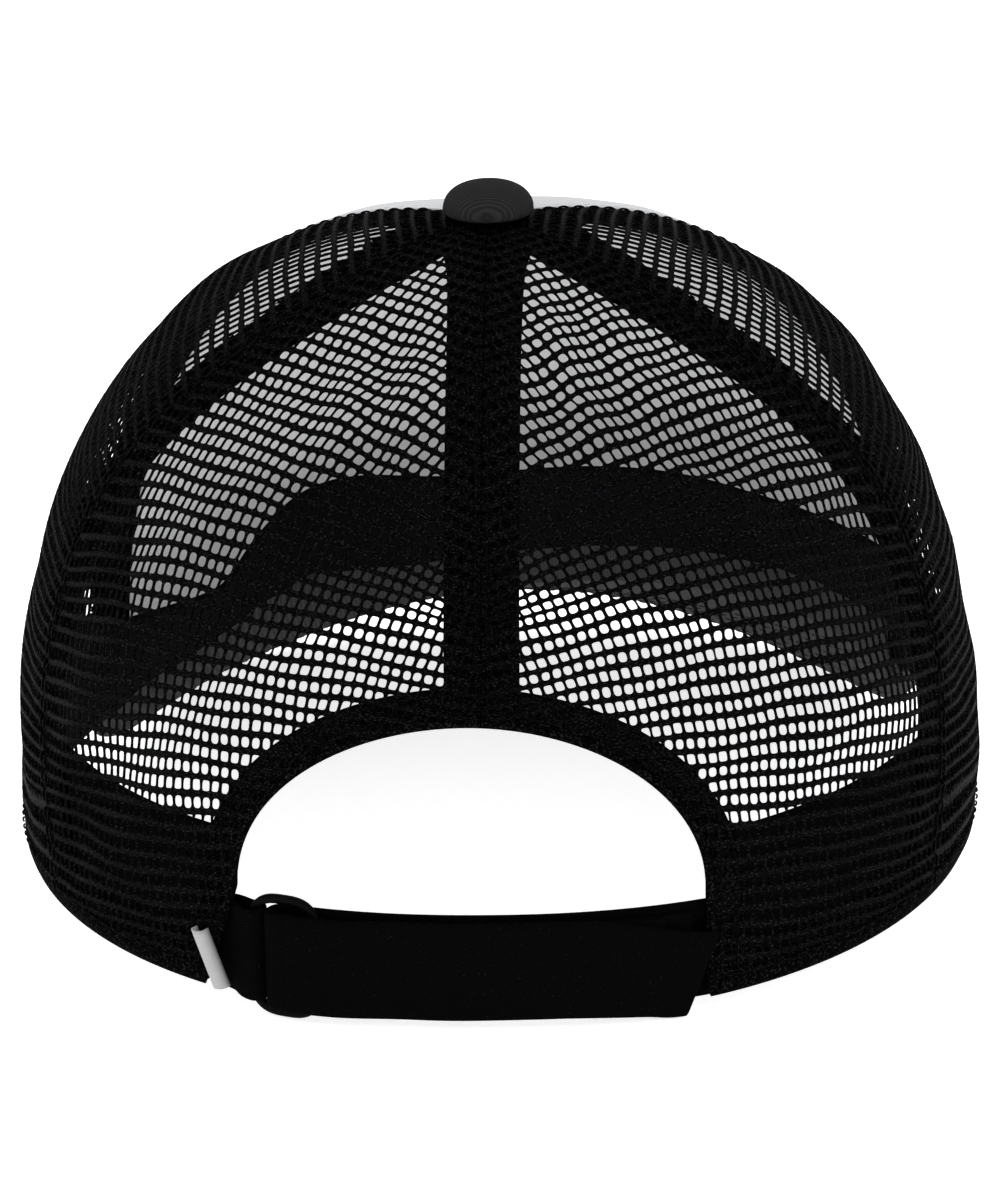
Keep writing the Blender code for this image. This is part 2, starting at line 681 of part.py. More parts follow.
def build_closure(webbing, pile, plastic, label):
    strap_run(webbing)
    pile_tape("loop_tape", LOOP_TAPE_ARCS, LOOP_TAPE_D, PILE_THICKNESS, pile)
    strap_tail(webbing)
    pile_tape("hook_tape", HOOK_TAPE_ARCS, HOOK_TAPE_D, 0.5 * PILE_THICKNESS, pile)
    ring_tab(webbing)
    ring(plastic)
    tag(label)


# ---- the cap ---------------------------------------------------------------------------------
for old in list(bpy.data.objects):
    bpy.data.objects.remove(old, do_unlink=True)

PARTS = bpy.data.collections.new("trucker_cap")
bpy.context.scene.collection.children.link(PARTS)
CAP_FRAME = bpy.data.objects.new("cap_frame", None)
PARTS.objects.link(CAP_FRAME)
CAP_FRAME.matrix_world = (Matrix.Translation((0.0, CAP_Y, CAP_Z))
                          @ Matrix.Rotation(-PITCH, 4, "X"))

BLACK_MESH = make_material("black_mesh", (0.010, 0.010, 0.012), 0.55)
WHITE_TWILL = make_material("white_twill", (0.78, 0.79, 0.81), 0.85)
BACKING = make_material("grey_backing", (0.60, 0.61, 0.60), 0.90)
BLACK_TAPE = make_material("black_tape", (0.010, 0.010, 0.011), 0.85)
BLACK_BAND = make_material("black_band", (0.012, 0.012, 0.013), 0.90)
CHARCOAL = make_material("charcoal_cloth", (0.032, 0.032, 0.034), 0.85)
BOARD = make_material("white_board", (0.75, 0.75, 0.73), 0.60)
METAL = make_material("button_metal", (0.60, 0.60, 0.60), 0.35, 1.0)
BLACK_WEB = make_material("black_web", (0.008, 0.008, 0.009), 0.90)
PILE = make_material("black_pile", (0.006, 0.006, 0.007), 0.95)
BLACK_PLASTIC = make_material("black_plastic", (0.012, 0.012, 0.013), 0.40)
WHITE_RIBBON = make_material("white_ribbon", (0.80, 0.81, 0.80), 0.75)

build_panels(BLACK_MESH, WHITE_TWILL, BACKING)
build_tapes(BLACK_TAPE)
build_sweatband(BLACK_BAND)
build_brim(CHARCOAL, BOARD)
build_button(CHARCOAL, METAL)
build_closure(BLACK_WEB, PILE, BLACK_PLASTIC, WHITE_RIBBON)
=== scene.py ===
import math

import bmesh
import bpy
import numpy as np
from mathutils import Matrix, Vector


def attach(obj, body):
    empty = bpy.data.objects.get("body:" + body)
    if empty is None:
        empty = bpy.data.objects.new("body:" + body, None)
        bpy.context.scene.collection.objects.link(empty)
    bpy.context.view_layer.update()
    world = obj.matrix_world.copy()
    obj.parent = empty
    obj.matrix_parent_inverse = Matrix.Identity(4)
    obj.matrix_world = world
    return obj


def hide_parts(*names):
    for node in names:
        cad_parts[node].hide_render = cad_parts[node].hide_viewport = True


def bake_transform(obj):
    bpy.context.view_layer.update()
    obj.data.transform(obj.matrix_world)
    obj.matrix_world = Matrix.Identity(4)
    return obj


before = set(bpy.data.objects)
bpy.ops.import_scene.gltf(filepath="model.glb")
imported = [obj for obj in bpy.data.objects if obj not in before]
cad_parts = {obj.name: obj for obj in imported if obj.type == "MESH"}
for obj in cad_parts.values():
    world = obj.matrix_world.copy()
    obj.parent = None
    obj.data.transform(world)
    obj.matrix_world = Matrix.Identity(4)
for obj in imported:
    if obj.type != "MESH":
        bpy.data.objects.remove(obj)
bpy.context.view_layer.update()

# The looks of a five-panel trucker cap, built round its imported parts.
#
# Every soft part is made here in the place its CAD solid holds: knitted mesh with real holes,
# the white front, doubled seams, tapes, stitching, sweatband, brim, button, strap and label.
# Points are worked out in metres in the cap's own frame, as in the CAD source, and TO_WORLD puts
# them where the cap lies on its brim and its closure.
#
# Azimuth runs round the crown in degrees: 0 at the centre back, +90 at the wearer's left (+X),
# 180 at the centre front. Rise runs up the crown from 0 at the rim to 1 at the button. Cloth has
# its own flat coordinates, u across and v up the grain, which are also its UVs.

# ---- crown, as in the CAD source -------------------------------------------------------------
HALF_WIDTH, FRONT_LENGTH, BACK_LENGTH = 0.0932, 0.1000, 0.0956
PLAN_POWER = 2.18
CROWN_HEIGHT, APEX_Y = 0.1250, 0.0030
WIDEST_HEIGHT, WIDEST_FOLLOW = 0.0122, 0.6
RIM_SHARE, RISE_EASE = 0.10, 1.35
SIDE_TUCK, TUCK_START, TUCK_SPAN = 0.0008, 40.0, 30.0
SIDE_RIM_RISE, FRONT_RIM_RISE, RIM_RISE_POWER, RIM_SKEW = 0.0064, 0.0230, 1.5, 0.0090
BACK_POWERS, SIDE_POWERS, FRONT_POWERS = (1.39, 0.780), (0.825, 0.920), (1.18, 0.98)
BACK_SEAM_RIM, BACK_SEAM_MIDDLE, BACK_SEAM_TOP = 60.0, 66.0, 48.0
FRONT_SEAM = 120.0
EYE_RADIUS = 0.0034
FABRIC, LAYER_GAP, TAPE, TAPE_WIDTH = 0.0006, 0.0008, 0.0005, 0.0136
INNER_DEPTH = FABRIC + LAYER_GAP
CENTRE_TAPE_LENGTH, SEAM_TAPE_LENGTH = 0.111, 0.166
TAPE_RIDGE = 0.000125
SEAM_GAP, FRONT_SEAM_GAP, FRONT_FULLNESS = 0.00012, 0.00015, 0.0009
BACKING_FOOT, BACKING_TOP_RADIUS = 0.012, 0.0165

ARCH_CENTRE_X, ARCH_HALF_WIDTH = 0.0027, 0.0433
ARCH_SPRING_Z, ARCH_RISE = 0.0225, 0.0325
ARCH_LEG_FLARE, ARCH_TAPE_WIDTH = 0.0070, 0.0056
ARCH_ROLL_RADIUS, ARCH_ROLL_DEPTH = 0.00085, 0.00045
RIM_BINDING_RADIUS, RIM_BINDING_DEPTH, RIM_BINDING_RISE = 0.00095, 0.0006, 0.0115
RIM_BINDING_SQUASH = (0.85, 1.8)

BAND_HEIGHT, BAND_THICKNESS, BAND_DEPTH, BAND_LEAN = 0.0300, 0.0015, 0.0024, 33.0
BAND_LEFT_ARC, BAND_RIGHT_ARC, BAND_PLAN_RADIUS = 0.0525, -0.0475, 0.093
BAND_SAG, SAG_AZIMUTHS = 0.0060, (100.0, 114.0, 130.0, 140.0)
UPRIGHT_SHARE, UPRIGHT_AZIMUTH, UPRIGHT_SPAN = 0.60, 152.0, 13.0

BRIM_END_ANGLE, BRIM_END = 63.0, 0.985
BRIM_HALF_WIDTH, BRIM_ROOT_Y, BRIM_REACH, BRIM_PLAN_POWER = 0.0840, -0.0480, 0.1210, 2.6
BRIM_SLOPE, BRIM_CURVE_RADIUS = 0.39, 0.1110
BRIM_INNER_OFFSET, BRIM_SEAT = 0.0018, 0.0014
BRIM_THICKNESS, BRIM_END_BULGE, BRIM_CLOTH = 0.0050, 0.0080, 0.0007
BRIM_STITCH_INSET, BRIM_STITCH_PITCH, BRIM_STITCH_ROWS = 0.0035, 0.0070, 6

BUTTON_RADIUS, BUTTON_HEIGHT, BUTTON_LIFT = 0.0086, 0.0062, 0.0003
BUTTON_EDGE, BUTTON_CLOTH, BUTTON_GATHERS = 0.0009, 0.0007, 18.0

# An ARC runs along the closure from the centre back, + to the wearer's left, and a D stands out
# from the crown's outline there.
STRAP_BOTTOM, STRAP_TOP, STRAP_THICKNESS = 0.0002, 0.0194, 0.0012
STRAP_MIDDLE_Z, TAIL_BEND_ARC = 0.0098, 0.0260
STRAP_INNER_D, STRAP_OUTER_D, STRAP_RING_D = -0.0028, 0.0010, 0.0022
STRAP_ANCHOR_ARC, FOLD_ARC, TAIL_START_ARC = -0.0465, 0.0378, 0.0342
TAIL_END_ARC, TAIL_END_SLANT, TAIL_DROP, TAIL_NARROWING = -0.0430, 0.0066, 0.0018, 0.0032
RING_FLAT_ARC, RING_CLEAR_ARC = 0.0285, 0.0130
PILE_THICKNESS, PILE_BOTTOM, PILE_TOP = 0.0008, 0.0020, 0.0178
LOOP_TAPE_ARCS, LOOP_TAPE_D = (-0.0385, 0.0260), -0.0014
HOOK_TAPE_ARCS, HOOK_TAPE_D = (-0.0330, 0.0100), -0.0002
TAB_BOTTOM, TAB_TOP, TAB_THICKNESS = 0.0009, 0.0190, 0.0010
TAB_TURN_ARC, TAB_TURN_RADIUS, TAB_ROOT_ARC = 0.0437, 0.0021, 0.0550
TAB_FRONT_WAY = ((TAB_ROOT_ARC, -0.0027), (0.0500, -0.0025), (0.0476, -0.0012), (0.0460, 0.0006))
TAB_BACK_WAY = ((0.0462, -0.0036), (0.0478, -0.0044), (TAB_ROOT_ARC, -0.0044))
RING_BAR, RING_HALF_HEIGHT, RING_HALF_WIDTH, RING_POWER = 0.00085, 0.0110, 0.0071, 3.2
RING_LEFT_ARC, RING_LEFT_D = 0.0446, -0.0009
RING_RIGHT_ARC, RING_RIGHT_D = 0.0304, -0.0003
RING_CENTRE_Z = 0.0099
TAG_ARC, TAG_BOTTOM, TAG_LENGTH, TAG_LEAN = 0.0518, 0.0028, 0.0105, 0.42
TAG_REACH, TAG_HALF_WIDTH, TAG_THICKNESS = 0.0028, 0.0012, 0.0004

LYING_PITCH, LYING_SHIFT = math.radians(3.545), (0.0, 0.0354, 0.00746)
TO_WORLD = Matrix.Translation(LYING_SHIFT) @ Matrix.Rotation(-LYING_PITCH, 4, "X")

# ---- knitted mesh ----------------------------------------------------------------------------
HOLE_PITCH, ROW_PITCH = 0.00205, 0.00307
CELL = np.array([HOLE_PITCH, ROW_PITCH])
HOLE_WIDTH, HOLE_HEIGHT = 0.00146, 0.00192
YARN_CREST, YARN_GROOVE, YARN_BACK = 0.00024, 0.00010, 0.00030
CREST_SHARE = 0.52
NET_DEPTH, ALLOWANCE_DEPTH = 0.0003, 0.0009
PANEL_REACH, PANEL_FOOT = 0.061, -0.012
RIM_HEM_RISE, RIM_HEM_TOP, ARCH_HEM_TOP = 0.075, 0.016, 0.080
PANEL_CUT, BACK_PANEL_AREA, SIDE_PANEL_AREA = (0.106, 0.178), 0.0112, 0.0132
# The folds of each panel: middle, heading, spacing, reach and height.
CREASES = {
    "back_mesh_right": [((0.016, 0.128), 10.0, 0.0125, 0.034, 0.0013),
                        ((0.006, 0.085), -35.0, 0.0160, 0.040, 0.0008)],
    "back_mesh_left": [((-0.018, 0.120), -25.0, 0.0130, 0.036, 0.0010),
                       ((0.010, 0.080), 40.0, 0.0170, 0.040, 0.0007)],
}

# ---- stitching -------------------------------------------------------------------------------
STITCH_LENGTH, STITCH_GAP, STITCH_RADIUS = 0.0026, 0.0009, 0.00021
STITCH_PROUD = -0.0002
SEAM_STITCH, SEAM_STITCH_FOOT, SEAM_STITCH_TOP = 0.0010, 0.012, 0.010
FRONT_STITCHES, ARCH_STITCHES = (0.0012, 0.0060), (0.0017, 0.0047)
RIM_STITCH_RISE = 0.030

# ---- camera and light ------------------------------------------------------------------------
CAMERA_ELEVATION, CAMERA_YAW, CAMERA_ROLL = 18.469, 1.985, 1.153
CAMERA_DISTANCE, CAMERA_LENS, CAMERA_HEIGHT = 1.0442, 162.08, 0.060
CAMERA_SHIFT_RIGHT, CAMERA_SHIFT_DOWN = 0.00064, 0.01239
FLOOR_GLOW, FLOOR_REACH, LIGHT_THROUGH_FRONT = 0.75, 12.0, 0.20


# ---- crown surface ---------------------------------------------------------------------------
def ease(value, low, high):
    t = np.clip((np.asarray(value, float) - low) / (high - low), 0.0, 1.0)
    return t * t * (3.0 - 2.0 * t)


def unit(vectors):
    return vectors / np.maximum(np.linalg.norm(vectors, axis=-1, keepdims=True), 1e-12)


def plan_radius_factor(sine, cosine, power):
    return (np.abs(sine) ** power + np.abs(cosine) ** power) ** (-1.0 / power)


def rim_height(azimuth):
    a = np.radians(azimuth)
    front = np.clip(-np.cos(a), 0.0, None) ** RIM_RISE_POWER
    skew = RIM_SKEW * np.sin(a) * ease(-np.cos(a), 0.0, 0.8)
    return FRONT_RIM_RISE * front + SIDE_RIM_RISE * np.sin(a) ** 2 - skew


def crown(azimuth, rise):
    """Points on the crown's outer face."""
    azimuth, rise = np.broadcast_arrays(np.asarray(azimuth, float), np.asarray(rise, float))
    a = np.radians(azimuth)
    sine, cosine = np.sin(a), np.cos(a)
    back, front = np.clip(cosine, 0.0, None) ** 2, np.clip(-cosine, 0.0, None) ** 2
    side = 1.0 - back - front
    inward, upward = (back * b + side * s + front * f
                      for b, s, f in zip(BACK_POWERS, SIDE_POWERS, FRONT_POWERS))
    t = np.clip(rise - RIM_SHARE, 0.0, 1.0 - RIM_SHARE) / (1.0 - RIM_SHARE)
    turn = 0.5 * np.pi * t ** RISE_EASE
    reach = np.clip(np.cos(turn), 0.0, None) ** inward
    below = np.clip(RIM_SHARE - rise, 0.0, None) / RIM_SHARE
    off_back = (np.abs((azimuth + 180.0) % 360.0 - 180.0) - TUCK_START) / TUCK_SPAN
    tuck = SIDE_TUCK * np.clip(off_back, 0.0, 1.0) ** 2 * below ** 2
    k = plan_radius_factor(sine, cosine, PLAN_POWER)
    length = np.where(cosine > 0.0, BACK_LENGTH, FRONT_LENGTH)
    low = rim_height(azimuth)
    widest = WIDEST_HEIGHT + WIDEST_FOLLOW * low
    x = (HALF_WIDTH - tuck) * sine * k * reach
    y = (length - tuck) * cosine * k * reach + APEX_Y * (1.0 - reach)
    z = widest + (CROWN_HEIGHT - widest) * np.sin(turn) ** upward - (widest - low) * below
    return np.stack([x, y, z], axis=-1)


def crown_slopes(azimuth, rise):
    """How the crown's points move with azimuth and with rise."""
    d_az, d_rise = 0.2, 0.002
    rise = np.clip(rise, -0.5, 0.9985 - d_rise)
    along = (crown(azimuth + d_az, rise) - crown(azimuth - d_az, rise)) / (2.0 * d_az)
    up = (crown(azimuth, rise + d_rise) - crown(azimuth, rise - d_rise)) / (2.0 * d_rise)
    return along, up


def crown_normal(azimuth, rise):
    along, up = crown_slopes(azimuth, rise)
    return unit(np.cross(up, along))


def shell(azimuth, rise, depth):
    """Points this deep inside the crown's outer face; a negative depth stands proud."""
    depth = np.asarray(depth, float)[..., None]
    return crown(azimuth, rise) - depth * crown_normal(azimuth, rise)


def spoke(azimuth, rise):
    p = crown(azimuth, rise)
    return np.hypot(p[..., 0], p[..., 1] - APEX_Y)


def back_seam(rise):
    lower = BACK_SEAM_RIM + (BACK_SEAM_MIDDLE - BACK_SEAM_RIM) * ease(rise, 0.0, 0.45)
    return lower + (BACK_SEAM_TOP - BACK_SEAM_MIDDLE) * ease(rise, 0.50, 0.95)


def beside(azimuth, rise, distance):
    return azimuth + np.degrees(distance / np.maximum(spoke(azimuth, rise), 0.002))


def lengths_along(path):
    """How far along a path each of its points lies."""
    steps = np.linalg.norm(np.diff(path, axis=0), axis=1)
    return np.concatenate([[0.0], np.cumsum(steps)])


def bisect(function, low, high, shape):
    """Where rising functions cross zero, one for each place in an array."""
    low, high = np.full(shape, low), np.full(shape, high)
    for _ in range(30):
        middle = 0.5 * (low + high)
        rising = function(middle) < 0.0
        low, high = np.where(rising, middle, low), np.where(rising, high, middle)
    return 0.5 * (low + high)


def rise_at_height(azimuth, z):
    azimuth, z = np.broadcast_arrays(np.asarray(azimuth, float), np.asarray(z, float))
    return bisect(lambda rise: crown(azimuth, rise)[..., 2] - z, -0.2, 0.98, azimuth.shape)


TOP_AZIMUTHS = np.arange(-180.0, 361.0, 4.0)
TOP_RISES = bisect(lambda rise: EYE_RADIUS - spoke(TOP_AZIMUTHS, rise), 0.5, 0.9995,
                   TOP_AZIMUTHS.shape)


def top_rise(azimuth):
    """The rise at the edge of the hole under the button."""
    return np.interp(azimuth, TOP_AZIMUTHS, TOP_RISES)


def address(azimuth, rise, x, z):
    """Azimuth and rise of back points with this x and height, from a nearby first guess."""
    for _ in range(8):
        error = np.stack([x, z], axis=-1) - crown(azimuth, rise)[..., [0, 2]]
        along, up = crown_slopes(azimuth, rise)
        slope = np.stack([along[..., [0, 2]], up[..., [0, 2]]], axis=-1)
        step = np.linalg.solve(slope, error[..., None])[..., 0]
        azimuth = azimuth + np.clip(step[..., 0], -8.0, 8.0)
        rise = rise + np.clip(step[..., 1], -0.08, 0.08)
    return azimuth, rise


# ---- back curve: plan outline of the closure by arc length -----------------------------------
def outline(azimuth, offset=0.0):
    def on_plan(a):
        k = plan_radius_factor(np.sin(a), np.cos(a), PLAN_POWER)
        length = np.where(np.cos(a) > 0.0, BACK_LENGTH, FRONT_LENGTH)
        return np.stack([HALF_WIDTH * np.sin(a) * k, length * np.cos(a) * k], axis=-1)

    a = np.radians(np.asarray(azimuth, float))
    along = unit(on_plan(a + 0.004) - on_plan(a - 0.004))
    outward = np.stack([-along[..., 1], along[..., 0]], axis=-1)
    return on_plan(a) + np.asarray(offset, float)[..., None] * outward


ARC_AZIMUTHS = np.linspace(-80.0, 80.0, 641)
ARC_LENGTHS = lengths_along(outline(ARC_AZIMUTHS))
ARC_LENGTHS -= ARC_LENGTHS[len(ARC_LENGTHS) // 2]


def arc_azimuth(arc):
    return np.interp(arc, ARC_LENGTHS, ARC_AZIMUTHS)


def back_curve(arc, offset, z=0.0):
    plan = outline(arc_azimuth(arc), offset)
    return np.concatenate([plan, np.broadcast_to(z, plan.shape[:-1])[..., None]], axis=-1)


# ---- making pieces ---------------------------------------------------------------------------
def to_world(points):
    m = np.array(TO_WORLD)
    return points @ m[:3, :3].T + m[:3, 3]


def piece(name, points, faces, uvs, material, body="cap", merge=0.0, sharp=50.0):
    """A mesh object from points in the cap's frame, each with its own place on the flat cloth.

    Both are given in metres; the UVs that are stored count millimetres.
    """
    points, faces, uvs = (np.asarray(a) for a in (points, faces, uvs))
    mesh = bpy.data.meshes.new(name)
    sides = faces.shape[1]
    mesh.vertices.add(len(points))
    mesh.vertices.foreach_set("co", to_world(points).astype(np.float32).ravel())
    mesh.loops.add(faces.size)
    mesh.loops.foreach_set("vertex_index", faces.astype(np.int32).ravel())
    mesh.polygons.add(len(faces))
    mesh.polygons.foreach_set("loop_start", np.arange(0, faces.size, sides, dtype=np.int32))
    layer = mesh.uv_layers.new(name="cloth")
    layer.data.foreach_set("uv", (1000.0 * uvs[faces.ravel()]).astype(np.float32).ravel())
    mesh.update(calc_edges=True)
    if merge:
        bm = bmesh.new()
        bm.from_mesh(mesh)
        bmesh.ops.remove_doubles(bm, verts=bm.verts, dist=merge)
        bmesh.ops.dissolve_degenerate(bm, edges=bm.edges, dist=merge)
        bm.to_mesh(mesh)
        bm.free()
    mesh.shade_smooth()
    mesh.set_sharp_from_angle(angle=math.radians(sharp))
    mesh.materials.append(material)
    obj = bpy.data.objects.new(name, mesh)
    bpy.context.scene.collection.objects.link(obj)
    if body:
        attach(obj, body)
    return obj


def grid_faces(rows, columns, wrap=False, closed=False):
    """Quads of a grid whose points run row by row; they face outwards when rows run up."""
    index = np.arange(rows * columns).reshape(rows, columns)
    if closed:
        index = np.concatenate([index, index[:1]])
    if wrap:
        index = np.concatenate([index, index[:, :1]], axis=1)
    a, b, c, d = index[:-1, :-1], index[1:, :-1], index[1:, 1:], index[:-1, 1:]
    return np.stack([a, b, c, d], axis=-1).reshape(-1, 4)


# A quad's corners in this order face the other way.
OTHER_WAY = [0, 3, 2, 1]


def face_outwards(obj):
    bm = bmesh.new()
    bm.from_mesh(obj.data)
    bmesh.ops.recalc_face_normals(bm, faces=bm.faces)
    bm.to_mesh(obj.data)
    bm.free()


def grid_piece(name, grid, uvs, material, thickness, body="cap", offset=-1.0, rounds=0, wrap=False):
    """A sheet this thick from a grid of points of shape (rows, columns, 3)."""
    faces = grid_faces(*grid.shape[:2], wrap=wrap)
    obj = piece(name, grid.reshape(-1, 3), faces, uvs.reshape(-1, 2), material, body)
    solid = obj.modifiers.new("thickness", "SOLIDIFY")
    solid.thickness = thickness
    solid.offset = offset
    solid.use_quality_normals = True
    if rounds:
        soften = obj.modifiers.new("soften", "SUBSURF")
        soften.levels = soften.render_levels = rounds
    return obj


def tube(name, path, radius, material, sides=12, squash=(1.0, 1.0)):
    """A round bar along a path of points; squash flattens it sideways and upwards."""
    count = len(path)
    tangent = unit(np.gradient(path, axis=0))
    side = unit(np.cross(tangent, [0.0, 0.0, 1.0]) + 1e-9)
    over = unit(np.cross(side, tangent))
    angles = 2.0 * np.pi * np.arange(sides) / sides
    ring = (squash[0] * np.cos(angles)[None, :, None] * side[:, None]
            + squash[1] * np.sin(angles)[None, :, None] * over[:, None])
    points = (path[:, None] + radius * ring).reshape(-1, 3)
    length, girth = lengths_along(path), radius * angles
    uvs = np.stack(np.broadcast_arrays(length[:, None], girth[None, :]), axis=-1).reshape(-1, 2)
    ends = np.stack([path[0] - 0.4 * radius * tangent[0], path[-1] + 0.4 * radius * tangent[-1]])
    start, end, last_ring = count * sides, count * sides + 1, (count - 1) * sides
    turns = [(i, (i + 1) % sides) for i in range(sides)]
    caps = [[start, start, i, after] for i, after in turns]
    caps += [[end, end, last_ring + after, last_ring + i] for i, after in turns]
    faces = np.concatenate([grid_faces(count, sides, wrap=True), caps])
    points = np.concatenate([points, ends])
    uvs = np.concatenate([uvs, [[0.0, 0.0], [length[-1], 0.0]]])
    obj = piece(name, points, faces, uvs, material, None, merge=1e-7)
    face_outwards(obj)
    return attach(obj, "cap")


# ---- rows of stitches ------------------------------------------------------------------------
STITCH_RINGS = np.array([-0.5, -0.40, -0.15, 0.15, 0.40, 0.5])
STITCH_SIDES = 6


def stitched(path, normals, length):
    """Points and faces of a row of stitches lying on a path."""
    along = lengths_along(path)
    middles = np.arange(0.5 * length, along[-1] - 0.5 * length, length + STITCH_GAP)

    def at(where, values):
        return np.stack([np.interp(where, along, values[:, i]) for i in range(3)], axis=-1)

    s = STITCH_RINGS
    where = middles[:, None] + s[None, :] * length
    centre = at(where, path)
    up = unit(at(where, normals))
    forward = unit(at(where + 0.1 * length, path) - at(where - 0.1 * length, path))
    side = unit(np.cross(forward, up))
    lift = STITCH_RADIUS * (0.75 - 5.0 * s ** 2)
    thick = STITCH_RADIUS * np.sqrt(np.clip(1.0 - (2.0 * s) ** 6, 0.02, 1.0))
    angles = 2.0 * np.pi * np.arange(STITCH_SIDES) / STITCH_SIDES
    centre = centre + lift[None, :, None] * up
    spin = (np.cos(angles)[:, None] * side[:, :, None] + np.sin(angles)[:, None] * up[:, :, None])
    points = centre[:, :, None] + thick[None, :, None, None] * spin
    block = len(s) * STITCH_SIDES
    far = block - STITCH_SIDES
    ends = [[0, 5, 4, 3], [0, 3, 2, 1],
            [far, far + 1, far + 2, far + 3], [far, far + 3, far + 4, far + 5]]
    faces = grid_faces(len(s), STITCH_SIDES, wrap=True)[:, OTHER_WAY]
    faces = np.concatenate([faces, ends])
    all_faces = (faces[None] + block * np.arange(len(middles))[:, None, None]).reshape(-1, 4)
    return points.reshape(-1, 3), all_faces


def stitch_piece(name, rows, material, length=STITCH_LENGTH):
    """One piece of several rows of stitches; each row is a path and its normals."""
    points, faces, first = [], [], 0
    for path, normals in rows:
        row_points, row_faces = stitched(path, normals, length)
        points.append(row_points)
        faces.append(row_faces + first)
        first += len(row_points)
    points, faces = np.concatenate(points), np.concatenate(faces)
    return piece(name, points, faces, points[:, :2], material, sharp=80.0)


# ---- materials -------------------------------------------------------------------------------
# How far apart a wave texture's stripes are at scale 1.
WAVE_PITCH = 0.314159


class Paint:
    """A Principled material with procedural nodes."""

    def __init__(self, name, colour, roughness, metallic=0.0, sheen=0.0, specular=0.4):
        self.material = bpy.data.materials.new(name)
        self.material.use_nodes = True
        self.tree = self.material.node_tree
        self.shader = self.tree.nodes["Principled BSDF"]
        self.colour = colour
        self.shader.inputs["Base Color"].default_value = (*colour, 1.0)
        self.shader.inputs["Roughness"].default_value = roughness
        self.shader.inputs["Metallic"].default_value = metallic
        self.shader.inputs["Sheen Weight"].default_value = sheen
        self.shader.inputs["Sheen Roughness"].default_value = 0.45
        self.shader.inputs["Specular IOR Level"].default_value = specular
        self.height = None

    def node(self, kind, **inputs):
        made = self.tree.nodes.new(kind)
        for key, value in inputs.items():
            made.inputs[key.replace("_", " ")].default_value = value
        return made

    def link(self, output, target):
        self.tree.links.new(output, target)
        return output

    def place(self, rotation=0.0, flat=True, stretch=(1.0, 1.0, 1.0)):
        """Coordinates in millimetres: the cloth's own if flat, the object's otherwise."""
        mapping = self.node("ShaderNodeMapping")
        mapping.inputs["Rotation"].default_value = (0.0, 0.0, math.radians(rotation))
        if flat:
            source = self.node("ShaderNodeUVMap")
            source.uv_map = "cloth"
            mapping.inputs["Scale"].default_value = stretch
            self.link(source.outputs["UV"], mapping.inputs["Vector"])
        else:
            source = self.node("ShaderNodeTexCoord")
            mapping.inputs["Scale"].default_value = tuple(1000.0 * s for s in stretch)
            self.link(source.outputs["Object"], mapping.inputs["Vector"])
        return mapping.outputs["Vector"]

    def stripes(self, pitch, rotation=0.0, waver=0.0):
        """Sine stripes this many millimetres apart on the cloth."""
        wave = self.node("ShaderNodeTexWave", Scale=WAVE_PITCH / pitch, Distortion=waver)
        wave.inputs["Detail Scale"].default_value = 2.0
        self.link(self.place(rotation), wave.inputs["Vector"])
        return wave.outputs["Fac"]

    def speckle(self, size, detail=3.0, flat=False, stretch=(1.0, 1.0, 1.0)):
        """Noise with blotches about this many millimetres across."""
        noise = self.node("ShaderNodeTexNoise", Scale=1.0 / size, Detail=detail)
        self.link(self.place(0.0, flat, stretch), noise.inputs["Vector"])
        return noise.outputs["Fac"]

    def mixed(self, a, b, share):
        mix = self.node("ShaderNodeMix")
        mix.data_type = "RGBA"
        mix.inputs[0].default_value = share
        self.link(a, mix.inputs[6])
        self.link(b, mix.inputs[7])
        return mix.outputs[2]

    def raised(self, factor, depth):
        """Adds relief this many metres deep."""
        bump = self.node("ShaderNodeBump", Strength=1.0, Distance=depth)
        self.link(factor, bump.inputs["Height"])
        if self.height is not None:
            self.link(self.height, bump.inputs["Normal"])
        self.height = self.link(bump.outputs["Normal"], self.shader.inputs["Normal"])

    def tinted(self, factor, dark, light, low=0.0, high=1.0):
        """Varies the colour's strength with a factor, averaged with any earlier variation."""
        ramp = self.node("ShaderNodeValToRGB")
        for element, share, place in zip(ramp.color_ramp.elements, (dark, light), (low, high)):
            element.color = (*(min(share * c, 1.0) for c in self.colour), 1.0)
            element.position = place
        self.link(factor, ramp.inputs["Fac"])
        tint, base = ramp.outputs["Color"], self.shader.inputs["Base Color"]
        if base.is_linked:
            tint = self.mixed(base.links[0].from_socket, tint, 0.5)
        self.link(tint, base)

    def roughened(self, factor, low, high):
        spread = self.node("ShaderNodeMapRange", To_Min=low, To_Max=high)
        self.link(factor, spread.inputs["Value"])
        self.link(spread.outputs["Result"], self.shader.inputs["Roughness"])

    def glows(self, strength):
        self.shader.inputs["Emission Color"].default_value = (1.0, 1.0, 1.0, 1.0)
        self.shader.inputs["Emission Strength"].default_value = strength


def twill(paint, pitch, angle, depth, contrast=(0.7, 1.3)):
    """Diagonal cloth: ribs at an angle, broken by the yarns that cross them."""
    ribs = paint.stripes(pitch, angle, waver=0.6)
    yarns = paint.stripes(pitch * 0.8, 0.0, waver=0.8)
    woven = paint.mixed(ribs, yarns, 0.30)
    paint.raised(woven, depth)
    paint.tinted(woven, *contrast)
    paint.raised(paint.speckle(0.12, 2.0), 0.25 * depth)


# Where in the noise's range the painted glints begin and are full: pale flecks of painted highlight
# on glossy yarn.
PAINTED_GLINTS = (0.54, 0.74)
